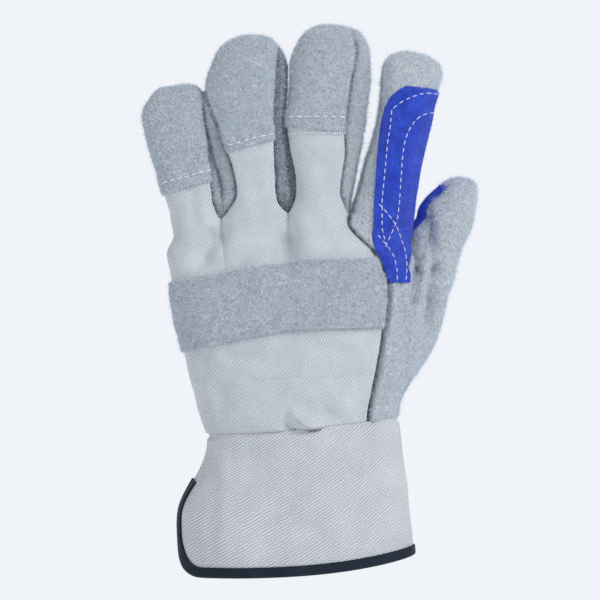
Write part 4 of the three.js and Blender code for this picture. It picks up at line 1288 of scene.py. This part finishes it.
# A line read off the photograph: the size of a pixel in millimetres, the pixel column of the
# glove's middle and the pixel row of its foot
photo = {"pixel": 0.486, "middle": 297, "foot": 577}


def fromPixels(spots):
    spots = np.array(spots, float)
    return (spots - [photo["middle"], photo["foot"]]) * [photo["pixel"], -photo["pixel"]]


def sew(name, lines, trees, settings, material, slot):
    stitches = [s for line in lines for s in stitchLine(fromPixels(line), trees, settings)]
    stitchMesh(name, stitches, settings, material, slot)


capSeams = overSurface([*capNames, "back_panel"])
whiteLines = [
    [(163, 182.5), (175, 180), (190, 176), (203, 172), (210, 170)],
    [(228, 146), (240, 142.5), (255, 138), (274, 134)],
    [(289, 117), (305, 117), (325, 117), (345, 117.5)],
]
sew("stitches_caps", whiteLines, capSeams, thread, whiteThread, "split_leather")

# The whipped edge of the canvas under the middle finger's tip: upright stitches side by side
whipped = [[(across, 131.4), (across, 135.4)] for across in np.arange(284.5, 346, 2.3)]
sew("stitches_edge", whipped, capSeams, overcast, whiteThread, "canvas")

blueLines = [
    [(439, 93), (430, 92.5), (420, 94), (410, 98), (403, 101), (395, 107), (392, 110), (391, 120),
     (390, 130), (388, 140), (386.5, 155), (385, 170), (383.5, 185), (382, 200), (382, 215),
     (382, 230), (386.6, 247)],
    [(434.5, 111.5), (428, 113), (420, 116), (415, 121), (410, 128), (406, 137), (404, 145), (402, 160),
     (401, 175), (400, 190), (399, 205), (397, 220), (392, 232), (385.2, 247)],
    [(374, 199), (380, 205), (388, 214), (395, 223), (400, 235), (405, 250), (407, 265), (406, 280)],
    [(373, 229), (380, 238), (388, 247), (394, 257), (397, 270), (397, 280)],
]
sew("stitches_suede", blueLines, overSurface(["index_patch"]), fineThread, blueThread, "blue_suede")
print("stitches ready")


# Nap: short fibres that stand up from the split leather, one thin triangle each, spread by
# area and leaning at random
napScatter = {"lean": 0.55, "lengths": 0.35}


def napFibres(name, owners, settings, material, slot):
    corners, bare = [], []
    for owner in owners:
        mesh = pieces[owner].data
        mesh.calc_loop_triangles()
        co = np.empty(len(mesh.vertices) * 3)
        mesh.vertices.foreach_get("co", co)
        index = np.empty(len(mesh.loop_triangles) * 3, np.int32)
        mesh.loop_triangles.foreach_get("vertices", index)
        corners.append(co.reshape(-1, 3)[index.reshape(-1, 3)] / mm)
        under = np.zeros(len(mesh.vertices))
        if "under" in mesh.attributes:
            mesh.attributes["under"].data.foreach_get("value", under)
        bare.append(under[index.reshape(-1, 3)].max(axis=1) > 0)
    corners, bare = np.concatenate(corners), np.concatenate(bare)
    area = np.cross(corners[:, 1] - corners[:, 0], corners[:, 2] - corners[:, 0])
    size = np.linalg.norm(area, axis=1)
    count = int(settings["perArea"] * size.sum() / 2 * detail)
    print(name, count, "fibres")
    chosen = rng.choice(len(size), count, p=size / size.sum())
    chosen = chosen[~bare[chosen]]
    count = len(chosen)
    a, b = rng.random((2, count, 1))
    a, b = np.where(a + b > 1, 1 - a, a), np.where(a + b > 1, 1 - b, b)
    p = corners[chosen]
    root = p[:, 0] + a * (p[:, 1] - p[:, 0]) + b * (p[:, 2] - p[:, 0])
    up = area[chosen] / size[chosen][:, None]
    way = unit(up * settings["stand"] + rng.normal(0, napScatter["lean"], (count, 3)))
    length = settings["length"] * rng.lognormal(0, napScatter["lengths"], (count, 1))
    side = unit(np.cross(way, rng.normal(0, 1, (count, 3)))) * settings["width"] / 2
    tip = root + way * length
    points = np.stack([root - side, root + side, tip], 1).reshape(-1, 3)
    first = np.arange(count) * 3
    faces = np.stack([first, first + 1, first + 2, first + 2], -1)
    place(makeMesh(name, points, faces, material), slot)


napMaterial = newMaterial("raised leather fibres", "#dfeaf5", 0.9, 0.2)[0]
napped = [*capNames, *gussets, "index_finger", "thumb", "knuckle_band"]
nap = {"perArea": 3.6, "length": 1.05, "width": 0.19, "stand": 0.7}
palmNap = {**nap, "perArea": 2.4}
strays = {"perArea": 0.5, "length": 2.3, "width": 0.17, "stand": 0.9}
napFibres("nap_leather", napped, nap, napMaterial, "split_leather")
napFibres("nap_palm", ["palm_panel"], palmNap, napMaterial, "split_leather")
napFibres("nap_strays", napped, strays, napMaterial, "split_leather")
blueNap = {"perArea": 3.0, "length": 0.55, "width": 0.13, "stand": 0.7}
blueNapMaterial = newMaterial("raised blue fibres", "#3659ec", 0.9, 0.2)[0]
napFibres("nap_suede", ["index_patch", "thumb_patch"], blueNap, blueNapMaterial, "blue_suede")
print("nap ready")

# Backdrop: a curved sheet of pale paper behind and under the glove
backdrop = {"halfWidth": 5, "back": 3.4, "front": -4.5, "radius": 1.5, "top": 5, "floor": -1.6}
studio = {"paperGlow": 0.97, "ambient": 0.42}
turn = np.linspace(0, np.pi / 2, 24)
bendY = backdrop["back"] - backdrop["radius"] * (1 - np.sin(turn))
bendZ = backdrop["floor"] + backdrop["radius"] * (1 - np.cos(turn))
curveY = np.array([backdrop["front"], *bendY, backdrop["back"]])
curveZ = np.array([backdrop["floor"], *bendZ, backdrop["top"]])
points = np.stack([np.stack([np.full_like(curveY, x), curveY, curveZ], -1)
                   for x in (-backdrop["halfWidth"], backdrop["halfWidth"])], 1)
paper, _, paperShader = newMaterial("studio paper", "#3a3c40", 0.9, 0.0)
paperShader.inputs["Emission Color"].default_value = linear("#f0f3f8")
paperShader.inputs["Emission Strength"].default_value = studio["paperGlow"]
sweepMesh = makeMesh("backdrop", points.reshape(-1, 3) / mm, gridFaces(*points.shape[:2]), paper)

# Light: a large soft key from above on the thumb's side, a weaker fill from the other side
world = bpy.data.worlds.new("studio")
bpy.context.scene.world = world
world.use_nodes = True
ambient = world.node_tree.nodes["Background"].inputs
ambient["Color"].default_value = linear("#eef2f8")
ambient["Strength"].default_value = studio["ambient"]
lights = {
    "key": {"at": (1.15, -0.95, 1.05), "size": 0.7, "watts": 16.5},
    "fill": {"at": (-1.3, -1.1, 0.5), "size": 1.0, "watts": 5.5},
}
middleOfGlove = Vector((0, 0, 0.135))
for name, settings in lights.items():
    data = bpy.data.lights.new(name, "AREA")
    data.energy = settings["watts"]
    data.size = settings["size"]
    lamp = bpy.data.objects.new(name, data)
    lamp.location = settings["at"]
    lamp.rotation_euler = (middleOfGlove - lamp.location).to_track_quat("-Z", "Y").to_euler()
    bpy.context.scene.collection.objects.link(lamp)

# Camera: straight on the back of the hand, with a long lens
view = {"lens": 200, "width": 0.2916, "x": 0.0015, "z": 0.1346, "gloveFront": -0.01}
cameraData = bpy.data.cameras.new("camera")
cameraData.lens = view["lens"]
camera = bpy.data.objects.new("camera", cameraData)
distance = view["width"] * view["lens"] / cameraData.sensor_width
camera.location = (view["x"], view["gloveFront"] - distance, view["z"])
camera.rotation_euler = (np.pi / 2, 0, 0)
bpy.context.scene.collection.objects.link(camera)
bpy.context.scene.camera = camera
bpy.context.scene.view_settings.view_transform = "Standard"
